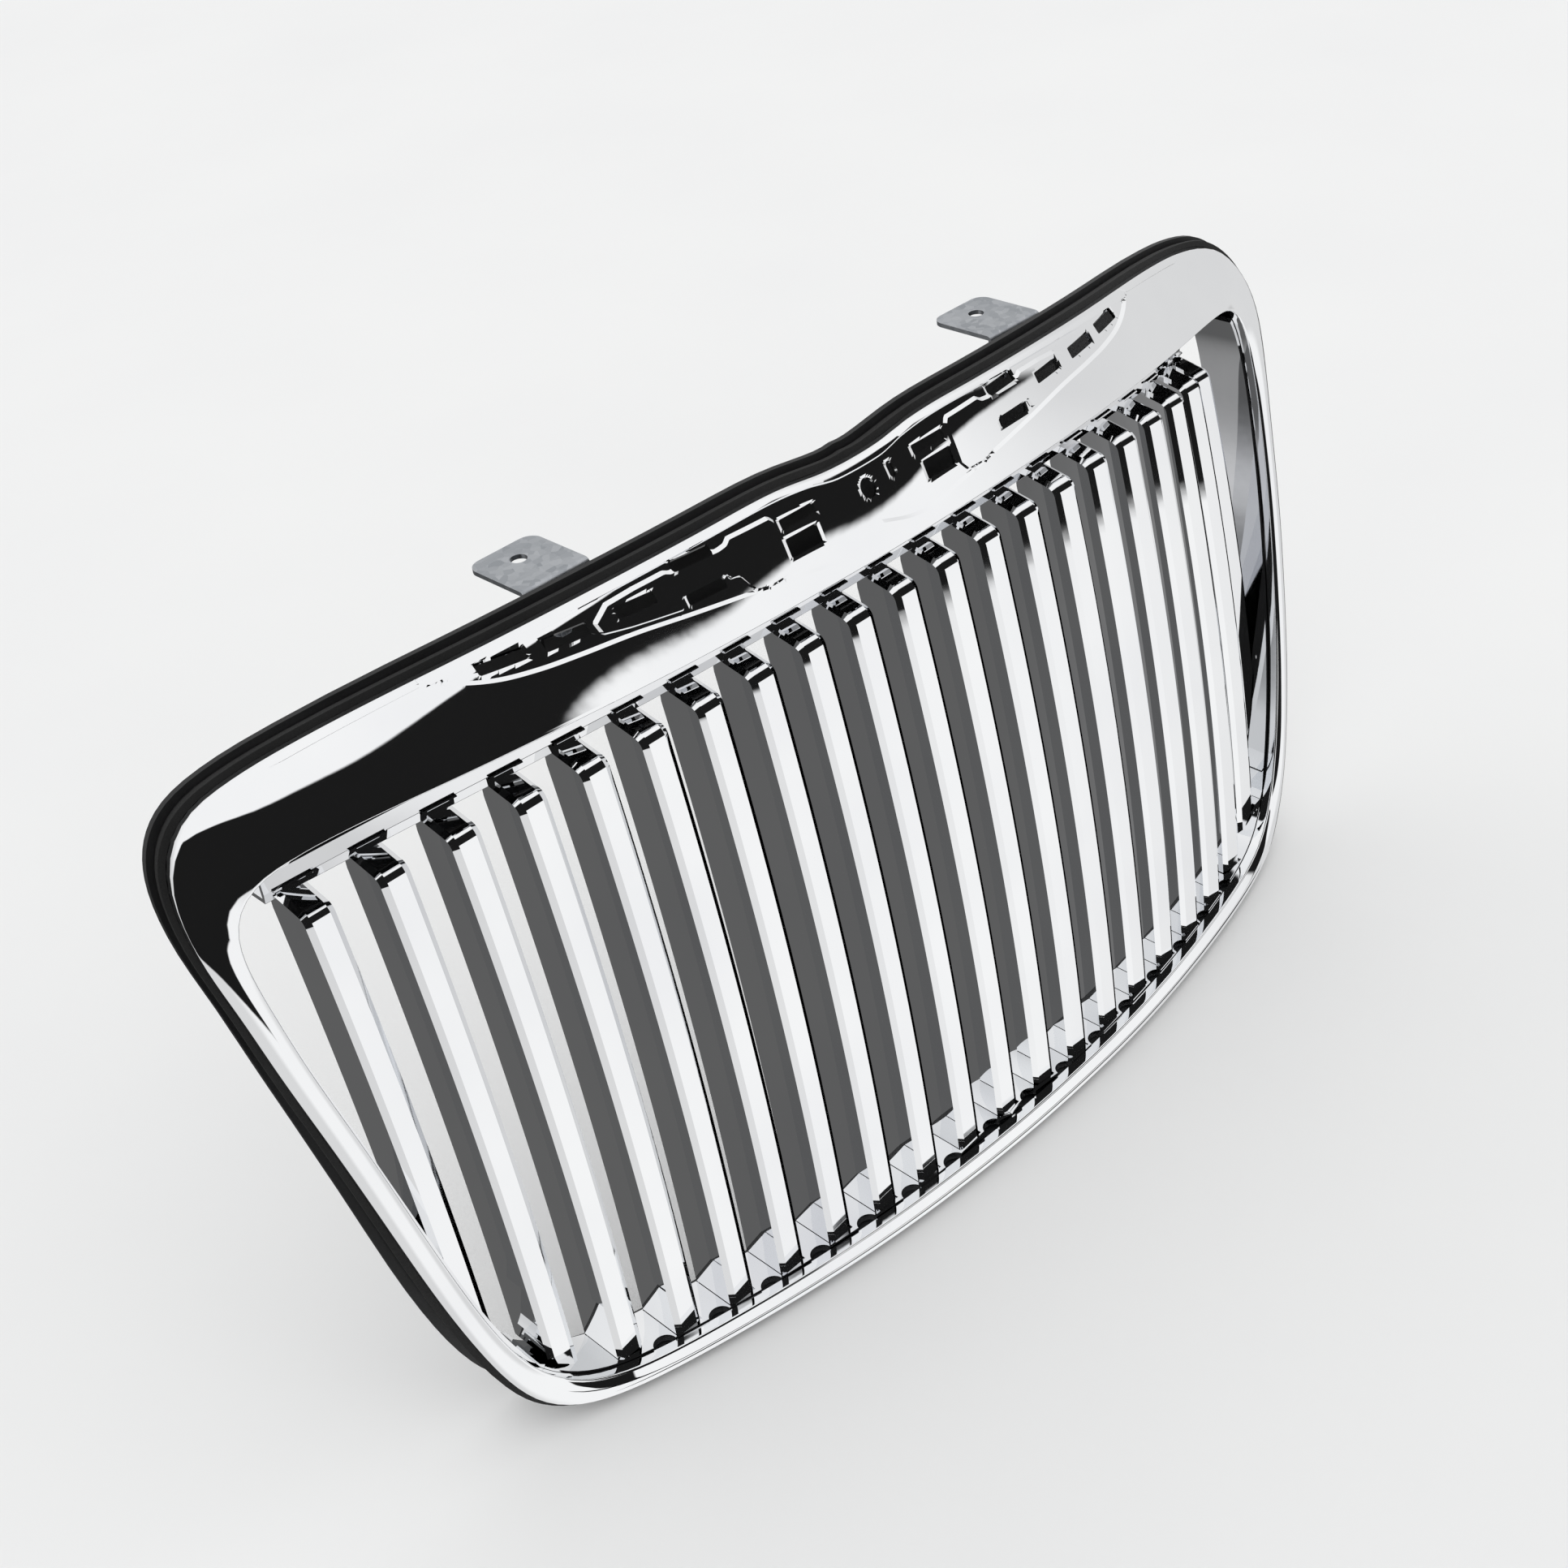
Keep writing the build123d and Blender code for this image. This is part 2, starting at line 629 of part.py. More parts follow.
def make_carrier_screws():
    """Pan-head screws, heads on the carrier's seats."""
    with BuildPart() as screws:
        for x in [side * x for side in (-1, 1) for x in BOSS_X]:
            seat = top_carrier_y(abs(x)) + SCREW_SEAT + 0.05
            with BuildSketch(rear_plane(x, seat - SCREW_LENGTH, boss_z(abs(x)))):
                Circle(SCREW_RADIUS)
            extrude(amount=SCREW_LENGTH)
            with BuildSketch(rear_plane(x, seat, boss_z(abs(x)))):
                Circle(SCREW_HEAD_RADIUS)
            extrude(amount=SCREW_HEAD_HEIGHT)
            with BuildSketch(rear_plane(x, seat + SCREW_HEAD_HEIGHT, boss_z(abs(x)))):
                RegularPolygon(1.7, 6)
            extrude(amount=-1.5, mode=Mode.SUBTRACT)
    return screws.part


def make_bracket_screws():
    """Hexagon bolts through each bracket's upright leg, heads to the rear."""
    with BuildPart() as bolts:
        for x in bracket_bolt_x():
            seat = bracket_seat_y() + BRACKET_THICKNESS + 0.1
            with BuildSketch(rear_plane(x, seat, bracket_z())):
                Circle(BRACKET_BOLT_RADIUS)
            extrude(amount=-bracket_bolt_reach())
            with BuildSketch(rear_plane(x, seat, bracket_z())):
                Circle(NUT_FLATS / 2 + 1.5)
            extrude(amount=1.2)
            with BuildSketch(rear_plane(x, seat, bracket_z())):
                RegularPolygon(NUT_FLATS / 2, 6, major_radius=False)
            extrude(amount=NUT_HEIGHT)
    return bolts.part


def bracket_bolt_x():
    """X of all four bracket bolts."""
    return [side * BRACKET_X + step * BRACKET_BOLT_SPACING / 2 for side in (-1, 1) for step in (-1, 1)]


def nut_seat_y():
    """Y of the carrier's front face where the nuts sit."""
    return top_carrier_y(BRACKET_X - BRACKET_WIDTH / 2) - 0.6


def bracket_bolt_reach():
    """Length of bolt from the bracket's rear face to past the nut."""
    return bracket_seat_y() + BRACKET_THICKNESS - nut_seat_y() + NUT_HEIGHT + 2


def make_bracket_nuts():
    """Flanged nuts on the carrier's front face."""
    with BuildPart() as nuts:
        for x in bracket_bolt_x():
            with BuildSketch(rear_plane(x, nut_seat_y(), bracket_z())):
                Circle(NUT_FLATS / 2 + 1.5)
            extrude(amount=-1.2)
            with BuildSketch(rear_plane(x, nut_seat_y(), bracket_z())):
                RegularPolygon(NUT_FLATS / 2, 6, major_radius=False)
            extrude(amount=-NUT_HEIGHT)
            with BuildSketch(rear_plane(x, nut_seat_y(), bracket_z())):
                Circle(BRACKET_BOLT_RADIUS + 0.02)
            extrude(amount=-NUT_HEIGHT, mode=Mode.SUBTRACT)
    return nuts.part


def make_lower_clips():
    """Spring clips pushed up over the carrier's bottom flange."""
    with BuildPart() as clips:
        for station, side in CLIP_STATIONS:
            x = side * STATIONS[station][1][0]
            before = STATIONS[min(station + 1, len(STATIONS) - 1)][1]
            after = STATIONS[station - 1][1]
            along = Vector(1, 0, 0)
            if x:
                along = Vector(after[0] - before[0], side * (after[1] - before[1]), 0).normalized()
            rearward = Vector(-along.Y, along.X, 0)
            middle = carrier_front(station) + CARRIER_THICKNESS / 2
            gap = CARRIER_THICKNESS / 2 + CLIP_EASE
            foot = STATIONS[-1][1][2] - CARRIER_FLANGE - 0.1
            with BuildSketch(Plane(origin=(x, middle, foot), x_dir=rearward, z_dir=along)):
                with BuildLine():
                    Polyline(
                        (-gap, CLIP_HEIGHT),
                        (-gap, 0),
                        (gap, 0),
                        (gap, CLIP_HEIGHT),
                        (gap + CLIP_SHEET, CLIP_HEIGHT),
                        (gap + CLIP_SHEET, -CLIP_SHEET),
                        (-gap - CLIP_SHEET, -CLIP_SHEET),
                        (-gap - CLIP_SHEET, CLIP_HEIGHT),
                        close=True,
                    )
                make_face()
            extrude(amount=CLIP_WIDTH / 2, both=True)
    return clips.part


def save(name, solid):
    """Move a node so that the middle of the badge bore is the origin, label it and write its STEP file."""
    bore_start, bore_end = badge_bore_span()
    node = solid.moved(Location((0, -(bore_start + bore_end) / 2, -BADGE_HOLE_Z)))
    node.label = name
    export_step(node, f"parts/{name}.step")


side_rail = make_side_rail()
bracket = make_bracket()
save("surround", make_surround())
save("upper_rail", make_upper_rail())
save("lower_rail", make_lower_rail())
save("side_rail_right", side_rail)
save("side_rail_left", mirror(side_rail, about=Plane.YZ))
save("carrier", make_carrier())
save("edge_seal", make_seal())
save("bracket_right", bracket)
save("bracket_left", mirror(bracket, about=Plane.YZ))
save("carrier_screws", make_carrier_screws())
save("bracket_screws", make_bracket_screws())
save("bracket_nuts", make_bracket_nuts())
save("lower_clips", make_lower_clips())
corner_trim = ring_loft(outside_section, SIDE_RAIL_START, len(STATIONS) - 3)
for index in range(BLADE_COUNT):
    save(f"slat_{index + 1:02d}", make_blade(index, corner_trim))
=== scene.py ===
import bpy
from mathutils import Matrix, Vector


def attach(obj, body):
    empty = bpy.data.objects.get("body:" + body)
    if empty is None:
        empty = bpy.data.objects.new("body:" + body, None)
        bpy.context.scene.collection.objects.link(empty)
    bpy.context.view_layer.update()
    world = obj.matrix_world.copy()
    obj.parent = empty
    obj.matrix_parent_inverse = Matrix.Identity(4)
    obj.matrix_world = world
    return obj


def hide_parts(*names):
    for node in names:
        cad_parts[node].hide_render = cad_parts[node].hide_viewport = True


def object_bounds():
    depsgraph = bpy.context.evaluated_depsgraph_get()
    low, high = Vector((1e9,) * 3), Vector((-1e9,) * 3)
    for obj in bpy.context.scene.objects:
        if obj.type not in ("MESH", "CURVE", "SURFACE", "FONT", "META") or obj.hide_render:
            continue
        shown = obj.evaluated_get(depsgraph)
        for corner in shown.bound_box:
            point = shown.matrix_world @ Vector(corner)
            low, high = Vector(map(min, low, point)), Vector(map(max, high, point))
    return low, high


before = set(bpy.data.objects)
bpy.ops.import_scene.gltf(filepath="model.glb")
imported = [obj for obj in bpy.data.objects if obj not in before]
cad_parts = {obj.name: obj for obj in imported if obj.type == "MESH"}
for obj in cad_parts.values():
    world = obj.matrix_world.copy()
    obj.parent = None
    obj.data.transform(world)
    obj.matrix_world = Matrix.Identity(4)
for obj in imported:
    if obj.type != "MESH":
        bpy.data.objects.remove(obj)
cad_box = [list(corner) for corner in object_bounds()]

import math

import bpy
import numpy as np
from mathutils import Matrix, Vector

# ---------------------------------------------------------------------------------------------------
# Surround: one injection-moulded ABS channel that rings the opening, bright chrome plated. The broad
# top band has a shallow pocket for a badge, with moulded pads, clip slots, a stud hole and a key slot.
# Sizes are in millimetres, with x = 0 on the plane of symmetry and y = z = 0 at the middle blade's bend.
DATUM = np.array([0.0, -16.4013, -57.5])

# Half of the ring from the middle of the top to the middle of the bottom: opening's edge, outer edge.
STATIONS = [
    ((0, 6, 25.5), (0, 30.5, 71.5)),
    ((22, 6.2, 25.5), (22, 30.7, 72.4)),
    ((45, 6.8, 25.5), (45, 31.6, 75)),
    ((90, 8.6, 25.5), (91, 34, 75)),
    ((135, 11.6, 25.5), (137, 38.8, 72.5)),
    ((180, 16, 25.5), (184, 46.4, 68.8)),
    ((225, 22.2, 25), (232, 56.8, 64)),
    ((270, 30.8, 23.6), (281, 70, 58)),
    ((306, 40, 21.4), (323, 81, 51.8)),
    ((334, 48.8, 17.6), (355, 87, 46)),
    ((354, 55.6, 12.6), (379, 86.6, 39)),
    ((368.5, 60.4, 5.4), (393, 82.4, 27.5)),
    ((378, 62.2, -4.6), (400, 75.6, 13)),
    ((382.6, 61, -17.4), (402, 69, -3)),
    ((383.4, 57.2, -34), (400.8, 63, -22)),
    ((381.4, 51.4, -56), (396.8, 56.2, -46)),
    ((377.2, 43.6, -87), (391.2, 47.8, -80)),
    ((369, 32.4, -132), (382.6, 35.8, -127)),
    ((359.4, 21.6, -185), (372.6, 24, -182)),
    ((349.6, 12.8, -236), (362, 13.6, -238)),
    ((340, 6.6, -276), (351.4, 6.2, -281)),
    ((331.2, 2.2, -301), (341, 1, -311.4)),
    ((320, -2.6, -320), (327.6, -4.2, -333.6)),
    ((305, -8, -333.4), (310.6, -10.6, -345.4)),
    ((286, -13.6, -341.4), (289, -17.4, -350.8)),
    ((262, -19.6, -345), (263.4, -24.6, -352.4)),
    ((225, -28, -346), (226, -33.6, -352.6)),
    ((170, -38.6, -346), (170, -44.4, -352.6)),
    ((100, -47.6, -346), (100, -53.6, -352.6)),
    ((50, -50.8, -346), (50, -56.8, -352.6)),
    ((0, -52, -346), (0, -58, -352.6)),
]
TOP_END = 9
BAR_START = 15
SIDE_END = 22


def closed_spline(points, knots, at):
    """Closed cubic spline. Each piece is the cubic that joins its neighbours with equal slope and bend."""
    step = np.diff(knots)
    slope = (np.roll(points, -1, 0) - points) / step[:, None]
    count = len(points)
    index = np.arange(count)
    system = np.zeros((count, count))
    system[index, index] = 2 * (step + np.roll(step, 1))
    system[index, (index + 1) % count] = step
    system[index, index - 1] = np.roll(step, 1)
    bend = np.linalg.solve(system, 6 * (slope - np.roll(slope, 1, 0)))
    piece = np.clip(np.searchsorted(knots, at, side="right") - 1, 0, count - 1)
    after = (piece + 1) % count
    far = ((at - knots[piece]) / step[piece])[:, None]
    near = 1 - far
    curve = (near**3 - near) * bend[piece] + (far**3 - far) * bend[after]
    return near * points[piece] + far * points[after] + curve * step[piece][:, None] ** 2 / 6


half_ring = np.array(STATIONS, float).reshape(len(STATIONS), 6)
flip = np.array([-1, 1, 1, -1, 1, 1])
ring = np.vstack([half_ring, half_ring[-2:0:-1] * flip])
ring_step = np.linalg.norm(np.roll(ring, -1, 0) - ring, axis=1)
ring_knots = np.concatenate([[0], np.cumsum(ring_step)])


def ring_at(position):
    """Opening's edge, outer edge and station number at positions round the ring."""
    both = closed_spline(ring, ring_knots, position)
    piece = np.clip(np.searchsorted(ring_knots, position, side="right") - 1, 0, len(ring) - 1)
    station = piece + (position - ring_knots[piece]) / ring_step[piece]
    return both[:, :3], both[:, 3:], np.minimum(station, len(ring) - station)


def even_columns(fine, coarse, fine_reach):
    """Positions round the ring, close together where |x| is under fine_reach on the top."""
    dense = np.linspace(0, ring_knots[-1], 8001)
    inner, outer, station = ring_at(dense[:-1])
    middle = (inner + outer) / 2
    length = np.linalg.norm(np.roll(middle, -1, 0) - middle, axis=1)
    close = (station < TOP_END) & (np.abs(middle[:, 0]) < fine_reach)
    count = np.concatenate([[0], np.cumsum(length / np.where(close, fine, coarse))])
    columns = int(count[-1])
    return np.interp(np.arange(columns) / columns * count[-1], count, dense)


LIP_RETURN = 6.5
LIP_RADIUS = 1.1
LIP_ROWS = 8
BAND_POWER = 2.5
BAND_TILT = 0.65
BAR_BULGE = 2.0
OUTER_RETURN = (12.0, 42.0)
DEEPER = (16, 23)
SKIN = 2.4
BAND_ROWS = 52
BAND_SPREAD = 1.35
LEDGE_SHARE = (0.38, 0.9, 0.03)


def smooth(value, low, high):
    """Smooth step from 0 at low to 1 at high."""
    share = np.clip((value - low) / (high - low), 0, 1)
    return share * share * (3 - 2 * share)


def section(width, rise, band, wall, bottom):
    """Rows across the channel: the lip, its small radius, the band or bar, then the outer wall.

    The band's height rises as a superellipse with some straight tilt. A side bar bulges as a parabola.
    The bottom bar is a ledge and a front face, the lower of two straight lines with a soft corner.
    """
    turn = np.radians(np.linspace(0, 90, LIP_ROWS - 2))
    lip_out = np.concatenate([[0, 0], LIP_RADIUS * (1 - np.cos(turn))])
    lip_back = np.concatenate([[LIP_RETURN, 3.5], LIP_RADIUS * (1 - np.sin(turn))])
    along = 1 - (1 - np.linspace(0, 1, BAND_ROWS + 1)[1:]) ** BAND_SPREAD
    domed = 1 - np.clip(1 - along**BAND_POWER, 0, 1) ** (1 / BAND_POWER)
    tilted = BAND_TILT * along + (1 - BAND_TILT) * domed
    out = np.hstack([np.tile(lip_out, (len(width), 1)), LIP_RADIUS + (width[:, None] - LIP_RADIUS) * along])
    corner, height, softness = LEDGE_SHARE
    ledge = along / corner * height
    face = height + (along - corner) / (1 - corner) * (1 - height)
    stepped = -softness * np.logaddexp(-ledge / softness, -face / softness)
    bar = along + bottom[:, None] * (stepped / stepped[-1] - along)
    level = band[:, None] * tilted + (1 - band[:, None]) * bar
    bulge = ((1 - band) * (1 - bottom))[:, None] * BAR_BULGE * 4 * along * (1 - along)
    back = np.hstack([np.tile(lip_back, (len(width), 1)), rise[:, None] * level - bulge])
    wall_back = rise[:, None] + wall[:, None] * np.array([0.03, 0.12, 0.5, 1.0])
    wall_out = np.tile(width[:, None], (1, wall_back.shape[1]))
    return np.hstack([out, wall_out]), np.hstack([back, wall_back])


position = even_columns(1.15, 7.0, 272.0)
inner, outer, station = ring_at(position)
outward = (outer - inner) * np.array([1, 0, 1])
width = np.linalg.norm(outward, axis=1)
outward /= width[:, None]
band = smooth(station, BAR_START, TOP_END)
return_share = np.clip((station - DEEPER[0]) / (DEEPER[1] - DEEPER[0]), 0, 1)
wall = OUTER_RETURN[0] + return_share * (OUTER_RETURN[1] - OUTER_RETURN[0])
bottom = smooth(station, SIDE_END - 1, SIDE_END + 3)
out, back = section(width, outer[:, 1] - inner[:, 1], band, wall, bottom)
skin = inner[:, None] + out[..., None] * outward[:, None] + back[..., None] * np.array([0, 1, 0])


def unit(vectors):
    """The same directions at length 1."""
    return vectors / np.maximum(np.linalg.norm(vectors, axis=-1, keepdims=True), 1e-9)


def grid_normals(grid):
    """Normals of a grid that closes on itself in its first direction."""
    round_ring = np.roll(grid, -1, 0) - np.roll(grid, 1, 0)
    across = np.gradient(grid, axis=1)
    return unit(np.cross(across, round_ring))


facing = grid_normals(skin)
if facing[0, BAND_ROWS // 2, 1] > 0:
    facing = -facing

# The pocket in the front view, for x > 0: its lower edge, and how far its upper edge is below the rim.
POCKET_X = [0, 20, 33, 60, 97, 128, 160, 190, 210, 233, 250, 262]
POCKET_LOW = [40, 35, 34, 37, 41.5, 45, 48.3, 49.6, 50.5, 53, 57, 60.6]
POCKET_DEPTH = 1.6
POCKET_WALL = 1.2
POCKET_INSET = 2.0
POCKET_END = 262
# Moulded pads that stand in the pocket at the level of the skin.
PAD = [(64.5, 46), (64.5, 66), (66.5, 68.2), (92, 68.2), (95, 66.2), (100, 65.5), (129, 65.5), (132, 66.6),
       (150, 65.6), (166, 64), (175, 59), (174, 54.5), (160, 52.5), (131, 49.5), (129.5, 54.6), (101, 55),
       (99.5, 52.5), (95, 52), (91.5, 46), (88, 42.5), (80, 41), (68, 41.5)]
# Clip slots: middle x and z, width and height.
SLOTS = [(48.5, 62.5, 24, 5), (50.6, 51, 21.5, 9.5), (115, 67.6, 24, 4.4), (114.5, 51.4, 23.5, 5.4),
         (153, 59.8, 22, 5.6), (191, 58.3, 23.5, 5.6), (224, 58.6, 24, 5)]
SLOT_RADIUS = 0.8
STUD_HOLE = (0, 57.5, 5.0)
KEY_SLOT = (18.5, 60, 2.0, 2.0)


def monotone(x, knots, values):
    """Curve through the values with gentle slopes, straight between them at their middles."""
    slope = np.gradient(values, knots)
    piece = np.clip(np.searchsorted(knots, x, side="right") - 1, 0, len(knots) - 2)
    knots, values = np.array(knots, float), np.array(values, float)
    step = knots[piece + 1] - knots[piece]
    share = (x - knots[piece]) / step
    level = values[piece] + (values[piece + 1] - values[piece]) * share**2 * (3 - 2 * share)
    leaving = step * slope[piece] * share * (1 - share) ** 2
    return level + leaving - step * slope[piece + 1] * share**2 * (1 - share)


rim_order = np.argsort(outer[(station < TOP_END + 1), 0])
rim_x = outer[(station < TOP_END + 1), 0][rim_order]
rim_z = outer[(station < TOP_END + 1), 2][rim_order]


def polygon_distance(x, z, corners):
    """Distance to a closed outline, negative inside it."""
    corners = np.array(corners, float)
    nearest = np.full(x.shape, 1e9)
    inside = np.zeros(x.shape, bool)
    for (ax, az), (bx, bz) in zip(corners, np.roll(corners, -1, 0)):
        along = ((x - ax) * (bx - ax) + (z - az) * (bz - az)) / ((bx - ax) ** 2 + (bz - az) ** 2)
        along = np.clip(along, 0, 1)
        nearest = np.minimum(nearest, np.hypot(x - ax - along * (bx - ax), z - az - along * (bz - az)))
        if az != bz:
            crossing = (az > z) != (bz > z)
            inside ^= crossing & (x < (bx - ax) * (z - az) / (bz - az) + ax)
    return np.where(inside, -nearest, nearest)


def hole_distance(x, z):
    """Distance to the nearest slot or hole, negative inside it."""
    nearest = np.hypot(x - STUD_HOLE[0], z - STUD_HOLE[1]) - STUD_HOLE[2]
    key_z = np.maximum(np.abs(z - KEY_SLOT[1]) - KEY_SLOT[3], 0)
    nearest = np.minimum(nearest, np.hypot(x - KEY_SLOT[0], key_z) - KEY_SLOT[2])
    for middle_x, middle_z, wide, high in SLOTS:
        over_x = np.abs(np.abs(x) - middle_x) - wide / 2 + SLOT_RADIUS
        over_z = np.abs(z - middle_z) - high / 2 + SLOT_RADIUS
        corner = np.hypot(np.maximum(over_x, 0), np.maximum(over_z, 0))
        nearest = np.minimum(nearest, corner + np.minimum(np.maximum(over_x, over_z), 0) - SLOT_RADIUS)
    return nearest


def pocket_distance(x, z):
    """Distance in from the pocket's outline, positive inside it."""
    low = monotone(np.minimum(np.abs(x), POCKET_END - 0.1), POCKET_X, POCKET_LOW)
    inset = POCKET_INSET + 1.2 * smooth(np.abs(x), 36, 14)
    upper = np.interp(x, rim_x, rim_z) - inset - z
    return np.minimum(np.minimum((z - low) / 1.02, upper), (POCKET_END - np.abs(x)) * 0.3)


def pad_distance(x, z):
    """Distance to the nearest pad, negative on it."""
    return polygon_distance(np.abs(x), z, PAD)


CREASE_INSET = 1.3
CREASE_DEPTH = 0.45


def crease_distance(x, z):
    """Distance to the fine crease that runs on from the pocket's tips, just below the rim."""
    gone = 9 * (smooth(np.abs(x), POCKET_END, POCKET_END - 6) + smooth(np.abs(x), 330, 344))
    return np.interp(x, rim_x, rim_z) - CREASE_INSET - z + gone


# Grid points close to an outline move onto it, along the skin, so that every edge is clean.
BEVEL_DEPTH = 0.35
SNAP = 0.66
HOLE_FIRST = 0.25
NUDGE = 0.05
x, z = skin[..., 0], skin[..., 2]
on_band = np.zeros(x.shape, bool)
on_band[:, LIP_ROWS:LIP_ROWS + BAND_ROWS - 1] = (station < TOP_END)[:, None]
closest = np.full(x.shape, SNAP)
move_x, move_z = np.zeros(x.shape), np.zeros(x.shape)
on_hole, on_crease = np.zeros(x.shape, bool), np.zeros(x.shape, bool)
outlines = [(hole_distance, 0), (pocket_distance, 0), (pocket_distance, POCKET_WALL), (pad_distance, 0),
            (pad_distance, POCKET_WALL), (crease_distance, 0)]
for field, level in outlines:
    value = field(x, z) - level
    slope_x = (field(x + NUDGE, z) - field(x - NUDGE, z)) / (2 * NUDGE)
    slope_z = (field(x, z + NUDGE) - field(x, z - NUDGE)) / (2 * NUDGE)
    steep = np.maximum(slope_x**2 + slope_z**2, 0.01)
    apart = np.abs(value) / np.sqrt(steep) - (HOLE_FIRST if field is hole_distance else 0.0)
    closer = on_band & (apart < closest) & (np.abs(value) < 2)
    closest = np.where(closer, apart, closest)
    move_x = np.where(closer, -value * slope_x / steep, move_x)
    move_z = np.where(closer, -value * slope_z / steep, move_z)
    on_hole = np.where(closer, field is hole_distance, on_hole)
    on_crease = np.where(closer, field is crease_distance, on_crease)
lean = 1 / np.maximum(np.abs(facing[..., 1]), 0.05)
skin = skin + np.stack([move_x, (facing[..., 0] * move_x + facing[..., 2] * move_z) * lean, move_z], -1)
x, z = skin[..., 0], skin[..., 2]
away = np.where(on_band, np.clip(hole_distance(x, z), -1, 1), 1.0)
away[on_hole] = 0.0
pocket = np.clip(pocket_distance(x, z) / POCKET_WALL, 0, 1)
deep = POCKET_DEPTH * pocket * np.clip(pad_distance(x, z) / POCKET_WALL, 0, 1)
deep = np.where(on_band, deep + BEVEL_DEPTH * on_hole + CREASE_DEPTH * on_crease, 0)
face_points = (skin + deep[..., None] * np.array([0, 1, 0])).reshape(-1, 3)
inside_points = (skin - SKIN * facing + 0.6 * deep[..., None] * np.array([0, 1, 0])).reshape(-1, 3)

# Each cell is cut along the diagonal that follows an outline; the parts within a hole are left out.
columns, rows = x.shape
number = np.arange(columns * rows).reshape(columns, rows)
a, b = number[:, :-1], np.roll(number, -1, 0)[:, :-1]
cells = np.stack([a, b, b + 1, a + 1], -1).reshape(-1, 4)
depth, reach = deep.reshape(-1)[cells], np.abs(away).reshape(-1)[cells]
first_cost = np.abs(depth[:, 0] - depth[:, 2]) + reach[:, 0] + reach[:, 2]
other_cost = np.abs(depth[:, 1] - depth[:, 3]) + reach[:, 1] + reach[:, 3]
along_first = (first_cost <= other_cost)[:, None]
triangles = np.vstack([np.where(along_first, cells[:, [0, 1, 2]], cells[:, [0, 1, 3]]),
                       np.where(along_first, cells[:, [0, 2, 3]], cells[:, [1, 2, 3]])])
triangles = triangles[away.reshape(-1)[triangles].mean(1) > 0.001]


def flat_normals(points, faces):
    """Unit normal of each face from its first three corners."""
    corners = points[faces]
    return unit(np.cross(corners[:, 1] - corners[:, 0], corners[:, 2] - corners[:, 0]))


base = facing.reshape(-1, 3)
if np.sum(flat_normals(face_points, triangles[:200]) * base[triangles[:200, 0]]) < 0:
    triangles = triangles[:, ::-1]
edges = np.stack([triangles, np.roll(triangles, -1, 1)], -1).reshape(-1, 2)
key = edges.min(1) * len(face_points) + edges.max(1)
first, uses = np.unique(key, return_index=True, return_counts=True)[1:]
border = edges[first[uses == 1]]
count = len(face_points)
strip = np.stack([border[:, 1], border[:, 0], border[:, 0] + count, border[:, 1] + count], -1)
shell_points = np.vstack([face_points, inside_points])
sloped = np.ptp(deep.reshape(-1)[triangles], axis=1) > 0.02
front_flat = flat_normals(shell_points, triangles)[:, None]
front_normals = np.where(sloped[:, None, None], front_flat, base[triangles])
back_normals = -base[triangles[:, ::-1]]
strip_normals = np.repeat(flat_normals(shell_points, strip)[:, None], 4, axis=1)
loop_normals = np.vstack([part.reshape(-1, 3) for part in (front_normals, back_normals, strip_normals)])
used = np.unique(triangles)
renumber = np.zeros(2 * count, int)
renumber[used] = np.arange(len(used))
renumber[used + count] = np.arange(len(used)) + len(used)
shell_points = np.vstack([face_points[used], inside_points[used]])
shell_faces = (renumber[triangles].tolist() + renumber[triangles[:, ::-1] + count].tolist()
               + renumber[strip].tolist())


def to_mesh(name, points, faces):
    """Mesh from millimetre points and faces, moved to the frame's origin and scaled to metres."""
    mesh = bpy.data.meshes.new(name)
    mesh.from_pydata(((points + DATUM) / 1000).tolist(), [], [list(map(int, face)) for face in faces])
    mesh.update()
    return mesh


def to_object(name, mesh, materials):
    """Object with that mesh and those materials, linked to the scene."""
    made = bpy.data.objects.new(name, mesh)
    bpy.context.scene.collection.objects.link(made)
    for material in materials:
        mesh.materials.append(material)
    return made


def linear(colour):
    """sRGB hex to the linear colour that a socket takes."""
    value = np.array([int(colour[i:i + 2], 16) for i in (1, 3, 5)]) / 255
    return (*np.where(value <= 0.04045, value / 12.92, ((value + 0.055) / 1.055) ** 2.4), 1.0)


def add_node(tree, kind, inputs=None, **settings):
    """Adds a node with its settings, and sets or links its inputs."""
    made = tree.nodes.new(kind)
    for setting, value in settings.items():
        setattr(made, setting, value)
    for socket, value in (inputs or {}).items():
        if isinstance(value, bpy.types.NodeSocket):
            tree.links.new(value, made.inputs[socket])
        else:
            made.inputs[socket].default_value = value
    return made


def start_material(name):
    """New material with an empty tree and its Object coordinates."""
    material = bpy.data.materials.new(name)
    material.use_nodes = True
    tree = material.node_tree
    tree.nodes.clear()
    return material, tree, add_node(tree, "ShaderNodeTexCoord").outputs["Object"]


def finish_material(tree, shader):
    """Links the shader to the material's output."""
    add_node(tree, "ShaderNodeOutputMaterial", {"Surface": shader.outputs[0]})


RANGE = ("Value", "From Min", "From Max", "To Min", "To Max")


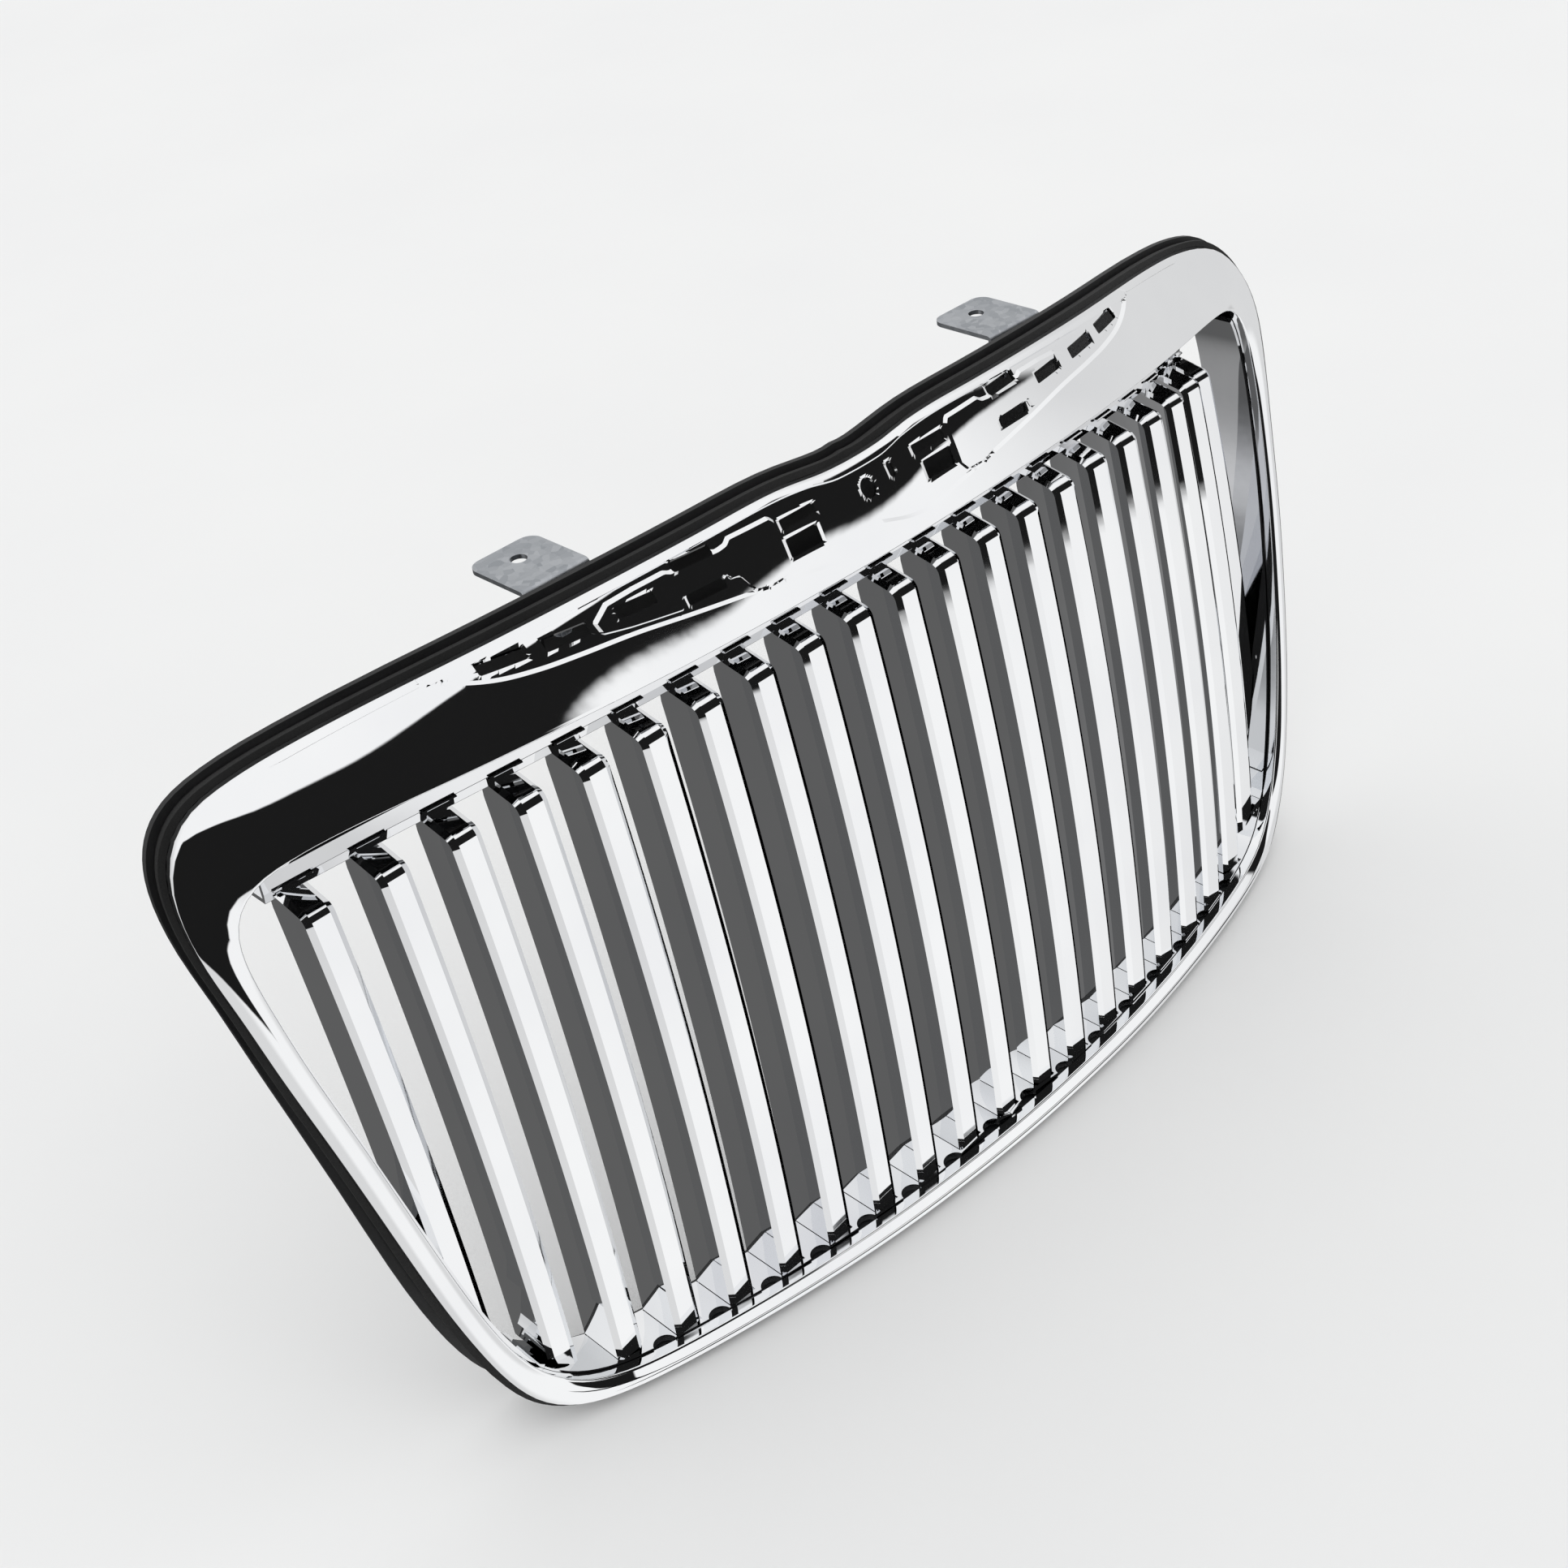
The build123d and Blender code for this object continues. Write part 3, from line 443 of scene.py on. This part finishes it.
# Bright chrome over copper and nickel on ABS: a mirror with a faint waviness from the moulding (about
# 9 mm across), a haze of wiping marks (0.4 mm) and thin dust, which give its highlights a little spread.
def chrome_plating(name, light, shade):
    material, tree, place = start_material(name)
    wave = add_node(tree, "ShaderNodeTexNoise", {"Vector": place, "Scale": 110.0, "Detail": 1.0})
    haze = add_node(tree, "ShaderNodeTexNoise", {"Vector": place, "Scale": 2500.0, "Detail": 2.0})
    film = add_node(tree, "ShaderNodeTexNoise", {"Vector": place, "Scale": 9.0, "Detail": 4.0}).outputs[0]
    filmed = add_node(tree, "ShaderNodeMapRange", dict(zip(RANGE, (film, 0.35, 0.7, 0.0, 1.0))))
    rough = add_node(tree, "ShaderNodeMapRange", dict(zip(RANGE, (film, 0.3, 0.75, 0.012, 0.045))))
    tint = add_node(tree, "ShaderNodeMix", {"Factor": filmed.outputs[0], "A": linear(light),
                                            "B": linear(shade)}, data_type="RGBA")
    bump = add_node(tree, "ShaderNodeBump", {
        "Height": wave.outputs[0], "Strength": 0.25, "Distance": 0.00004})
    fine = add_node(tree, "ShaderNodeBump", {
        "Height": haze.outputs[0], "Strength": 0.15, "Distance": 0.000002, "Normal": bump.outputs[0]})
    finish_material(tree, add_node(tree, "ShaderNodeBsdfPrincipled", {
        "Base Color": tint.outputs["Result"], "Metallic": 1.0, "Roughness": rough.outputs[0],
        "Normal": fine.outputs[0]}))
    return material


# The channel's rear is masked from the plating bath's brightener: dull grey metal over moulded ABS.
def masked_plating(name):
    material, tree, place = start_material(name)
    grain = add_node(tree, "ShaderNodeTexNoise", {"Vector": place, "Scale": 900.0, "Detail": 3.0}).outputs[0]
    patch = add_node(tree, "ShaderNodeTexNoise", {"Vector": place, "Scale": 30.0, "Detail": 3.0}).outputs[0]
    patchy = add_node(tree, "ShaderNodeMapRange", dict(zip(RANGE, (patch, 0.3, 0.7, 0.0, 1.0))))
    rough = add_node(tree, "ShaderNodeMapRange", dict(zip(RANGE, (grain, 0.3, 0.7, 0.45, 0.6))))
    tint = add_node(tree, "ShaderNodeMix", {"Factor": patchy.outputs[0], "A": linear("#2B2C2E"),
                                            "B": linear("#1B1C1D")}, data_type="RGBA")
    bump = add_node(tree, "ShaderNodeBump", {"Height": grain, "Strength": 0.4, "Distance": 0.00005})
    finish_material(tree, add_node(tree, "ShaderNodeBsdfPrincipled", {
        "Base Color": tint.outputs["Result"], "Metallic": 0.3, "Normal": bump.outputs[0],
        "Roughness": rough.outputs[0]}))
    return material


chrome = chrome_plating("bright_chrome_plating", "#F7F8F9", "#F1F2F4")
masked = masked_plating("masked_plating_inside")
mesh = to_mesh("surround_shell", shell_points, shell_faces)
surround = to_object("surround_shell", mesh, [chrome, masked])
kinds = np.repeat([0, 1, 0], [len(triangles), len(triangles), len(strip)])
mesh.polygons.foreach_set("material_index", kinds.astype(np.int32))
mesh.normals_split_custom_set(loop_normals.tolist())
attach(surround, "root")
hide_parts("surround")

# ---------------------------------------------------------------------------------------------------
# Blades: 21 upright hollow strips of plated ABS on a 34 mm pitch. Each has a bowed flat face between
# two chamfers, bends back at the top onto a gently rising top, and clips into the rails at its ends.
BLADES = 21
BLADE_PITCH = 34.0
BLADE_WIDTH = 17.1
CHAMFER = (3.3, 1.9)
BLADE_REAR = 28.1
BLADE_WALL = 2.4
FRONT_WALL = 4.4
TOP_WALL = 2.6
HOOK_RADIUS = 6.6
TOP_RISE = math.radians(11.3)
BLADE_FOOT_Z = -347.0
BLADE_BULGE = 7.0
SIDE_CLEARANCE = 3.3
SHARP_BLADE = math.radians(11)


def blade_x(index):
    """Middle of a blade, counted from the left."""
    return (index - BLADES // 2) * BLADE_PITCH


def blade_bend(x):
    """Y and Z of the blade row's front corner at the top bend."""
    t = (x / 340) ** 2
    return 32.7 * t + 27.2 * t**2 + 4.9 * t**3, -(8.5 * t + 12.1 * t**2 + 11.2 * t**3)


def blade_foot(x):
    """Y and Z of the blade row's front corner at the foot, which ends at the opening's edge."""
    t = (x / 340) ** 2
    low = np.array([pair[0] for pair in STATIONS[SIDE_END - 4:]], float)[::-1]
    reach = abs(x) + math.copysign(BLADE_WIDTH / 2, 300 - abs(x))
    foot_z = max(BLADE_FOOT_Z, np.interp(reach, low[:, 0], low[:, 2]))
    return -41.5 + 54.5 * t - 13.3 * t**2 + 24.3 * t**3, foot_z


def blade_path(x):
    """Corner line of a blade from its foot, over the bend, to the rear of its top, with outward normals."""
    bend_y, bend_z = blade_bend(x)
    foot_y, foot_z = blade_foot(x)
    height = np.linspace(foot_z, bend_z, 60)
    share = (bend_z - height) / (bend_z - BLADE_FOOT_Z)
    line_y = bend_y + share * (foot_y - bend_y) - BLADE_BULGE * 4 * share * (1 - share)
    slope = (line_y[-1] - line_y[-2]) / (height[-1] - height[-2])
    start = math.atan(slope)
    turn = np.linspace(start, math.pi / 2 - TOP_RISE, 15)
    hook_y = line_y[-1] + HOOK_RADIUS * (math.cos(start) - np.cos(turn))
    hook_z = bend_z + HOOK_RADIUS * (np.sin(turn) - math.sin(start))
    top_y = np.array([0.25, 0.5, 0.75, 1.0]) * (bend_y + BLADE_REAR - hook_y[-1]) + hook_y[-1]
    top_z = hook_z[-1] + (top_y - hook_y[-1]) * math.tan(TOP_RISE)
    path_y = np.concatenate([line_y, hook_y[1:], top_y])
    path = np.stack([path_y, np.concatenate([height, hook_z[1:], top_z])], -1)
    direction = unit(np.gradient(path, axis=0))
    direction[-4:] = (math.cos(TOP_RISE), math.sin(TOP_RISE))
    return path, np.stack([-direction[:, 1], direction[:, 0]], -1), len(height)


def side_limit(z):
    """X of the insert's side wall at a height."""
    edge = np.array([pair[0] for pair in STATIONS[12:SIDE_END + 2]], float)[::-1]
    return np.interp(z, edge[:, 2], edge[:, 0]) - SIDE_CLEARANCE


def make_blade(index):
    """Hat section swept up the path: side, chamfer, flat, chamfer, side, then the hollow inside."""
    x = blade_x(index)
    path, normal, front = blade_path(x)
    bend_z = path[front - 1, 1]
    count = len(path)
    rear_y = path[:, 0] + BLADE_REAR
    rear_y[front:] = path[-1, 0]
    rear_z = path[:, 1].copy()
    rear_z[front:] = bend_z + (path[-1, 1] - bend_z) * np.linspace(0, 1, count - front + 1)[1:]
    flat_y, flat_z = (path + CHAMFER[1] * normal).T
    core_y = np.minimum(path[:, 0] + FRONT_WALL - CHAMFER[1], rear_y)
    under_top = np.maximum(path[:, 1], rear_z) - TOP_WALL
    core_z = np.where(np.arange(count) < front, path[:, 1], under_top)
    core_rear_z = np.minimum(rear_z, path[-1, 1] - TOP_WALL)
    half, core = BLADE_WIDTH / 2, BLADE_WIDTH / 2 - BLADE_WALL
    loop = [(-half, rear_y, rear_z), (-half, *path.T), (-half + CHAMFER[0], flat_y, flat_z),
            (half - CHAMFER[0], flat_y, flat_z), (half, *path.T), (half, rear_y, rear_z),
            (core, rear_y, core_rear_z), (core, core_y, core_z), (-core, core_y, core_z),
            (-core, rear_y, core_rear_z)]
    grid = np.stack([np.stack([np.full(count, x + across), y, z], -1) for across, y, z in loop], 1)
    if abs(x) > 300:
        limit = side_limit(grid[..., 2])
        order = np.array([abs(x + across) for across, y, z in loop]) - abs(x)
        grid[..., 0] = np.sign(x) * np.minimum(np.abs(grid[..., 0]), limit + 0.02 * order)
    number = np.arange(count * len(loop)).reshape(count, len(loop))
    a, b = number[:-1], number[1:]
    quads = np.stack([a, np.roll(a, -1, 1), np.roll(b, -1, 1), b], -1).reshape(-1, 4).tolist()
    ends = [number[0, ::-1].tolist(), number[-1].tolist()]
    mesh = to_mesh(f"blade_{index + 1:02d}", grid.reshape(-1, 3), quads + ends)
    mesh.shade_smooth()
    mesh.set_sharp_from_angle(angle=SHARP_BLADE)
    return mesh


for index in range(BLADES):
    blade = to_object(f"blade_{index + 1:02d}", make_blade(index), [chrome])
    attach(blade, "root")
    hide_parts(f"slat_{index + 1:02d}")

# ---------------------------------------------------------------------------------------------------
# Rails: plated mouldings that hold the blades. The upper one is a wall behind the blades' tops with a
# small ledge over each; the lower one is a bar with sockets; the side ones close the insert's ends.
RAIL_SETBACK = 20.0
RAIL_HALF = 352
RAIL_PROFILE = [(14, 9.2), (0, 9.2), (-0.3, 9.6), (-1.4, 15.0), (-1.3, 15.3), (-1.3, 24.0), (1.2, 24.0),
                (1.2, 12.0), (14, 12.0)]
LEDGE_HALF = 8.6
LEDGE = [(-1.0, 14.4), (-3.6, 14.9), (-3.8, 15.3), (-3.4, 15.9), (-1.0, 16.2)]


def swept_strip(name, profile, across):
    """Closed profile of (rearward, upward) offsets carried along x behind the blades' bend line."""
    bend = np.array([blade_bend(x) for x in across])
    profile = np.array(profile, float)
    grid = np.stack([np.repeat(across[:, None], len(profile), 1),
                     bend[:, :1] + RAIL_SETBACK + profile[:, 0], bend[:, 1:] + profile[:, 1]], -1)
    count, wide = grid.shape[:2]
    number = np.arange(count * wide).reshape(count, wide)
    a, b = number[:-1], number[1:]
    quads = np.stack([a, np.roll(a, -1, 1), np.roll(b, -1, 1), b], -1).reshape(-1, 4)[:, ::-1].tolist()
    return grid.reshape(-1, 3), quads + [number[0].tolist(), number[-1, ::-1].tolist()]


parts = [swept_strip("rail", RAIL_PROFILE, np.linspace(-RAIL_HALF, RAIL_HALF, 240))]
for index in range(BLADES):
    x = blade_x(index)
    parts.append(swept_strip("ledge", LEDGE, np.linspace(x - LEDGE_HALF, x + LEDGE_HALF, 8)))
points, faces, start = [], [], 0
for part_points, part_faces in parts:
    points.append(part_points)
    faces += [[start + corner for corner in face] for face in part_faces]
    start += len(part_points)
mesh = to_mesh("upper_rail_moulding", np.vstack(points), faces)
mesh.shade_smooth()
mesh.set_sharp_from_angle(angle=math.radians(20))
rail_chrome = chrome_plating("rail_chrome_plating", "#F0F1F2", "#E4E5E8")
upper_rail = to_object("upper_rail_moulding", mesh, [rail_chrome])
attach(upper_rail, "root")
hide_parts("upper_rail")

for name in ("lower_rail", "side_rail_left", "side_rail_right"):
    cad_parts[name].data.materials.clear()
    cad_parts[name].data.materials.append(rail_chrome)

# ---------------------------------------------------------------------------------------------------
# Carrier: black glass-filled nylon ring screwed behind the surround. Its moulded face has a fine spark
# texture of about 0.5 mm and pale flow marks, so that it looks dry and slightly uneven.
def moulded_black(name, light, shade, grain_mm, rough):
    material, tree, place = start_material(name)
    grain = add_node(tree, "ShaderNodeTexNoise", {
        "Vector": place, "Scale": 1000 / grain_mm, "Detail": 3.0}).outputs[0]
    flow = add_node(tree, "ShaderNodeTexNoise", {
        "Vector": place, "Scale": 14.0, "Detail": 5.0, "Distortion": 1.2}).outputs[0]
    marked = add_node(tree, "ShaderNodeMapRange", dict(zip(RANGE, (flow, 0.35, 0.7, 0.0, 1.0))))
    spread = (grain, 0.3, 0.7, rough - 0.06, rough + 0.08)
    dull = add_node(tree, "ShaderNodeMapRange", dict(zip(RANGE, spread)))
    tint = add_node(tree, "ShaderNodeMix", {"Factor": marked.outputs[0], "A": linear(shade),
                                            "B": linear(light)}, data_type="RGBA")
    bump = add_node(tree, "ShaderNodeBump", {"Height": grain, "Strength": 0.5, "Distance": 0.00012})
    finish_material(tree, add_node(tree, "ShaderNodeBsdfPrincipled", {
        "Base Color": tint.outputs["Result"], "Normal": bump.outputs[0], "Roughness": dull.outputs[0]}))
    return material


nylon = moulded_black("glass_filled_nylon", "#1F1F20", "#141415", 0.5, 0.55)
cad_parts["carrier"].data.materials.clear()
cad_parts["carrier"].data.materials.append(nylon)

# ---------------------------------------------------------------------------------------------------
# Edge seal: extruded black EPDM rubber strip round the surround, with a matt bloom on its surface.
rubber = moulded_black("epdm_rubber", "#171717", "#0D0D0D", 0.9, 0.72)
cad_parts["edge_seal"].data.materials.clear()
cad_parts["edge_seal"].data.materials.append(rubber)


# ---------------------------------------------------------------------------------------------------
# Brackets, screws, nuts and clips: pressed and turned steel. Zinc plating leaves a soft grey with
# spangles of about 4 mm; the spring clips are dark phosphated steel with an oily, mottled look.
def plated_steel(name, light, shade, spangle_mm, rough):
    material, tree, place = start_material(name)
    spangle = add_node(tree, "ShaderNodeTexVoronoi", {"Vector": place, "Scale": 1000 / spangle_mm})
    grain = add_node(tree, "ShaderNodeTexNoise", {"Vector": place, "Scale": 1600.0, "Detail": 2.0}).outputs[0]
    shades = (spangle.outputs["Color"], 0.1, 0.9, 0.0, 1.0)
    shown = add_node(tree, "ShaderNodeMapRange", dict(zip(RANGE, shades)))
    spread = (grain, 0.3, 0.7, rough - 0.05, rough + 0.08)
    dull = add_node(tree, "ShaderNodeMapRange", dict(zip(RANGE, spread)))
    tint = add_node(tree, "ShaderNodeMix", {"Factor": shown.outputs[0], "A": linear(shade),
                                            "B": linear(light)}, data_type="RGBA")
    bump = add_node(tree, "ShaderNodeBump", {"Height": grain, "Strength": 0.3, "Distance": 0.00003})
    finish_material(tree, add_node(tree, "ShaderNodeBsdfPrincipled", {
        "Base Color": tint.outputs["Result"], "Metallic": 1.0, "Normal": bump.outputs[0],
        "Roughness": dull.outputs[0]}))
    return material


bracket_zinc = plated_steel("zinc_plated_sheet_steel", "#B9BCC0", "#9DA1A6", 4.0, 0.34)
screw_zinc = plated_steel("zinc_plated_screw_steel", "#A8ABB0", "#8B8F95", 1.5, 0.3)
phosphate = plated_steel("phosphated_spring_steel", "#3A3B3E", "#242528", 0.8, 0.42)
finishes = {"bracket_left": bracket_zinc, "bracket_right": bracket_zinc, "carrier_screws": screw_zinc,
            "bracket_screws": screw_zinc, "bracket_nuts": screw_zinc, "lower_clips": phosphate}
for name, finish in finishes.items():
    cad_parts[name].data.materials.clear()
    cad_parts[name].data.materials.append(finish)

# ---------------------------------------------------------------------------------------------------
# Stage: a pale matt floor just under the grille, a soft key light and a studio that the chrome reflects.
# The studio is white, with one large black flag in front, hung from the left, and a low grey wall behind.
floor_size, floor_z = 9.0, cad_box[0][2] - 0.001
floor_mesh = bpy.data.meshes.new("floor")
corners = [(-floor_size, -floor_size, floor_z), (floor_size, -floor_size, floor_z),
           (floor_size, floor_size, floor_z), (-floor_size, floor_size, floor_z)]
floor_mesh.from_pydata(corners, [], [(0, 1, 2, 3)])
matt_floor, tree, place = start_material("matt_pale_floor")
mottle = add_node(tree, "ShaderNodeTexNoise", {"Vector": place, "Scale": 3.0, "Detail": 3.0})
tint = add_node(tree, "ShaderNodeMix", {"Factor": mottle.outputs[0], "A": linear("#EFEFEE"),
                                        "B": linear("#EAEAEA")}, data_type="RGBA")
finish_material(tree, add_node(tree, "ShaderNodeBsdfPrincipled", {
    "Base Color": tint.outputs["Result"], "Roughness": 0.9}))
floor = to_object("floor", floor_mesh, [matt_floor])
floor.visible_glossy = False

world = bpy.data.worlds.new("studio")
bpy.context.scene.world = world
world.use_nodes = True
tree = world.node_tree
tree.nodes.clear()
sky = add_node(tree, "ShaderNodeTexCoord").outputs["Generated"]
parts_of = add_node(tree, "ShaderNodeSeparateXYZ", {"Vector": sky}).outputs


def zone(*edges):
    """Share of the studio inside soft edges. Each is a value and the places where it gives 0 and 1."""
    share = 1.0
    for value, outside, inside in edges:
        rising = (outside, inside, 0.0, 1.0) if outside < inside else (inside, outside, 1.0, 0.0)
        edge = add_node(tree, "ShaderNodeMapRange", dict(zip(RANGE, (value, *rising))),
                        interpolation_type="SMOOTHSTEP").outputs[0]
        share = add_node(tree, "ShaderNodeMath", {0: edge, 1: share}, operation="MULTIPLY").outputs[0]
    return share


# Degrees turned from the front to the right, and degrees raised above the horizon.
DEGREES = 180 / math.pi
forward = add_node(tree, "ShaderNodeMath", {0: parts_of["Y"], 1: -1.0}, operation="MULTIPLY").outputs[0]
bearing = add_node(tree, "ShaderNodeMath", {0: parts_of["X"], 1: forward}, operation="ARCTAN2").outputs[0]
turned = add_node(tree, "ShaderNodeMath", {0: bearing, 1: DEGREES}, operation="MULTIPLY").outputs[0]
slope = add_node(tree, "ShaderNodeMath", {0: parts_of["Z"]}, operation="ARCSINE").outputs[0]
raised = add_node(tree, "ShaderNodeMath", {0: slope, 1: DEGREES}, operation="MULTIPLY").outputs[0]

# The flag hangs low on the left, then its lower edge rises in a step and climbs gently to the right.
hem = add_node(tree, "ShaderNodeMapRange", dict(zip(RANGE, (turned, 11, 27, 19.5, 5.5))),
               interpolation_type="SMOOTHSTEP").outputs[0]
climb = add_node(tree, "ShaderNodeMapRange", dict(zip(RANGE, (turned, 33, 83, 0.0, 16.0)))).outputs[0]
hem = add_node(tree, "ShaderNodeMath", {0: hem, 1: climb}, operation="ADD").outputs[0]
over_hem = add_node(tree, "ShaderNodeMath", {0: raised, 1: hem}, operation="SUBTRACT").outputs[0]
head = add_node(tree, "ShaderNodeMapRange", dict(zip(RANGE, (turned, 0, 8, 54, 50))),
                interpolation_type="SMOOTHSTEP").outputs[0]
over_head = add_node(tree, "ShaderNodeMath", {0: raised, 1: head}, operation="SUBTRACT").outputs[0]
cloth = add_node(tree, "ShaderNodeMath", {0: zone((over_hem, -1, 1)), 1: zone((turned, 13.5, 10.5))},
                 operation="MAXIMUM").outputs[0]
outline = zone((turned, -75, -68), (turned, 64, 58), (raised, -12.5, -11), (over_head, 1, -1))
flag = add_node(tree, "ShaderNodeMath", {0: cloth, 1: outline}, operation="MULTIPLY").outputs[0]

WHITE, SHADED, PALE_GREY = (0.97, 0.97, 0.97, 1), (0.74, 0.74, 0.74, 1), (0.33, 0.33, 0.33, 1)
GREY, BLACK = (0.115, 0.115, 0.115, 1), (0.011, 0.011, 0.011, 1)
wall = add_node(tree, "ShaderNodeMix", {
    "Factor": zone((turned, -134, -122), (turned, 0, -10)), "A": GREY, "B": PALE_GREY},
    data_type="RGBA").outputs["Result"]
layers = [(WHITE, zone((turned, -30, -8), (turned, 60, 40))), (WHITE, zone((raised, 20, 50))), (BLACK, flag),
          (wall, zone((parts_of["Y"], 0.02, 0.12), (raised, -8, -14)))]
colour = SHADED
for layer, share in layers:
    colour = add_node(tree, "ShaderNodeMix", {"Factor": share, "A": colour, "B": layer},
                      data_type="RGBA").outputs["Result"]

# Matt surfaces are lit by an even pale sky.
rays = add_node(tree, "ShaderNodeLightPath").outputs
seen = add_node(tree, "ShaderNodeMix", {
    "Factor": rays["Is Glossy Ray"], "A": (0.92, 0.925, 0.93, 1), "B": colour}, data_type="RGBA")
background = add_node(tree, "ShaderNodeBackground", {"Color": seen.outputs["Result"], "Strength": 1.0})
add_node(tree, "ShaderNodeOutputWorld", {"Surface": background.outputs[0]})

key = bpy.data.objects.new("soft_key", bpy.data.lights.new("soft_key", "SUN"))
key.data.energy = 0.5
key.data.angle = math.radians(50)
key.rotation_euler = (math.radians(28), math.radians(-18), 0)
key.visible_glossy = False
bpy.context.scene.collection.objects.link(key)

camera = bpy.data.objects.new("camera", bpy.data.cameras.new("camera"))
bpy.context.scene.collection.objects.link(camera)
camera.data.lens = 50.84
camera.data.sensor_width = 36
AZIMUTH, ELEVATION, ROLL = (math.radians(angle) for angle in (-39.76, 34.39, -8.25))
VIEW_DISTANCE = 1.14383
target = Vector((-0.1015, -0.0164013, -0.120495))
level = math.cos(ELEVATION)
backward = Vector((math.sin(AZIMUTH) * level, -math.cos(AZIMUTH) * level, math.sin(ELEVATION)))
right = (-backward).cross(Vector((0, 0, 1))).normalized()
up = right.cross(-backward)
across = math.cos(ROLL) * right + math.sin(ROLL) * up
upward = -math.sin(ROLL) * right + math.cos(ROLL) * up
turn = Matrix((across, upward, backward)).transposed().to_4x4()
camera.matrix_world = Matrix.Translation(target + backward * VIEW_DISTANCE) @ turn
bpy.context.scene.camera = camera
bpy.context.scene.view_settings.view_transform = "Standard"
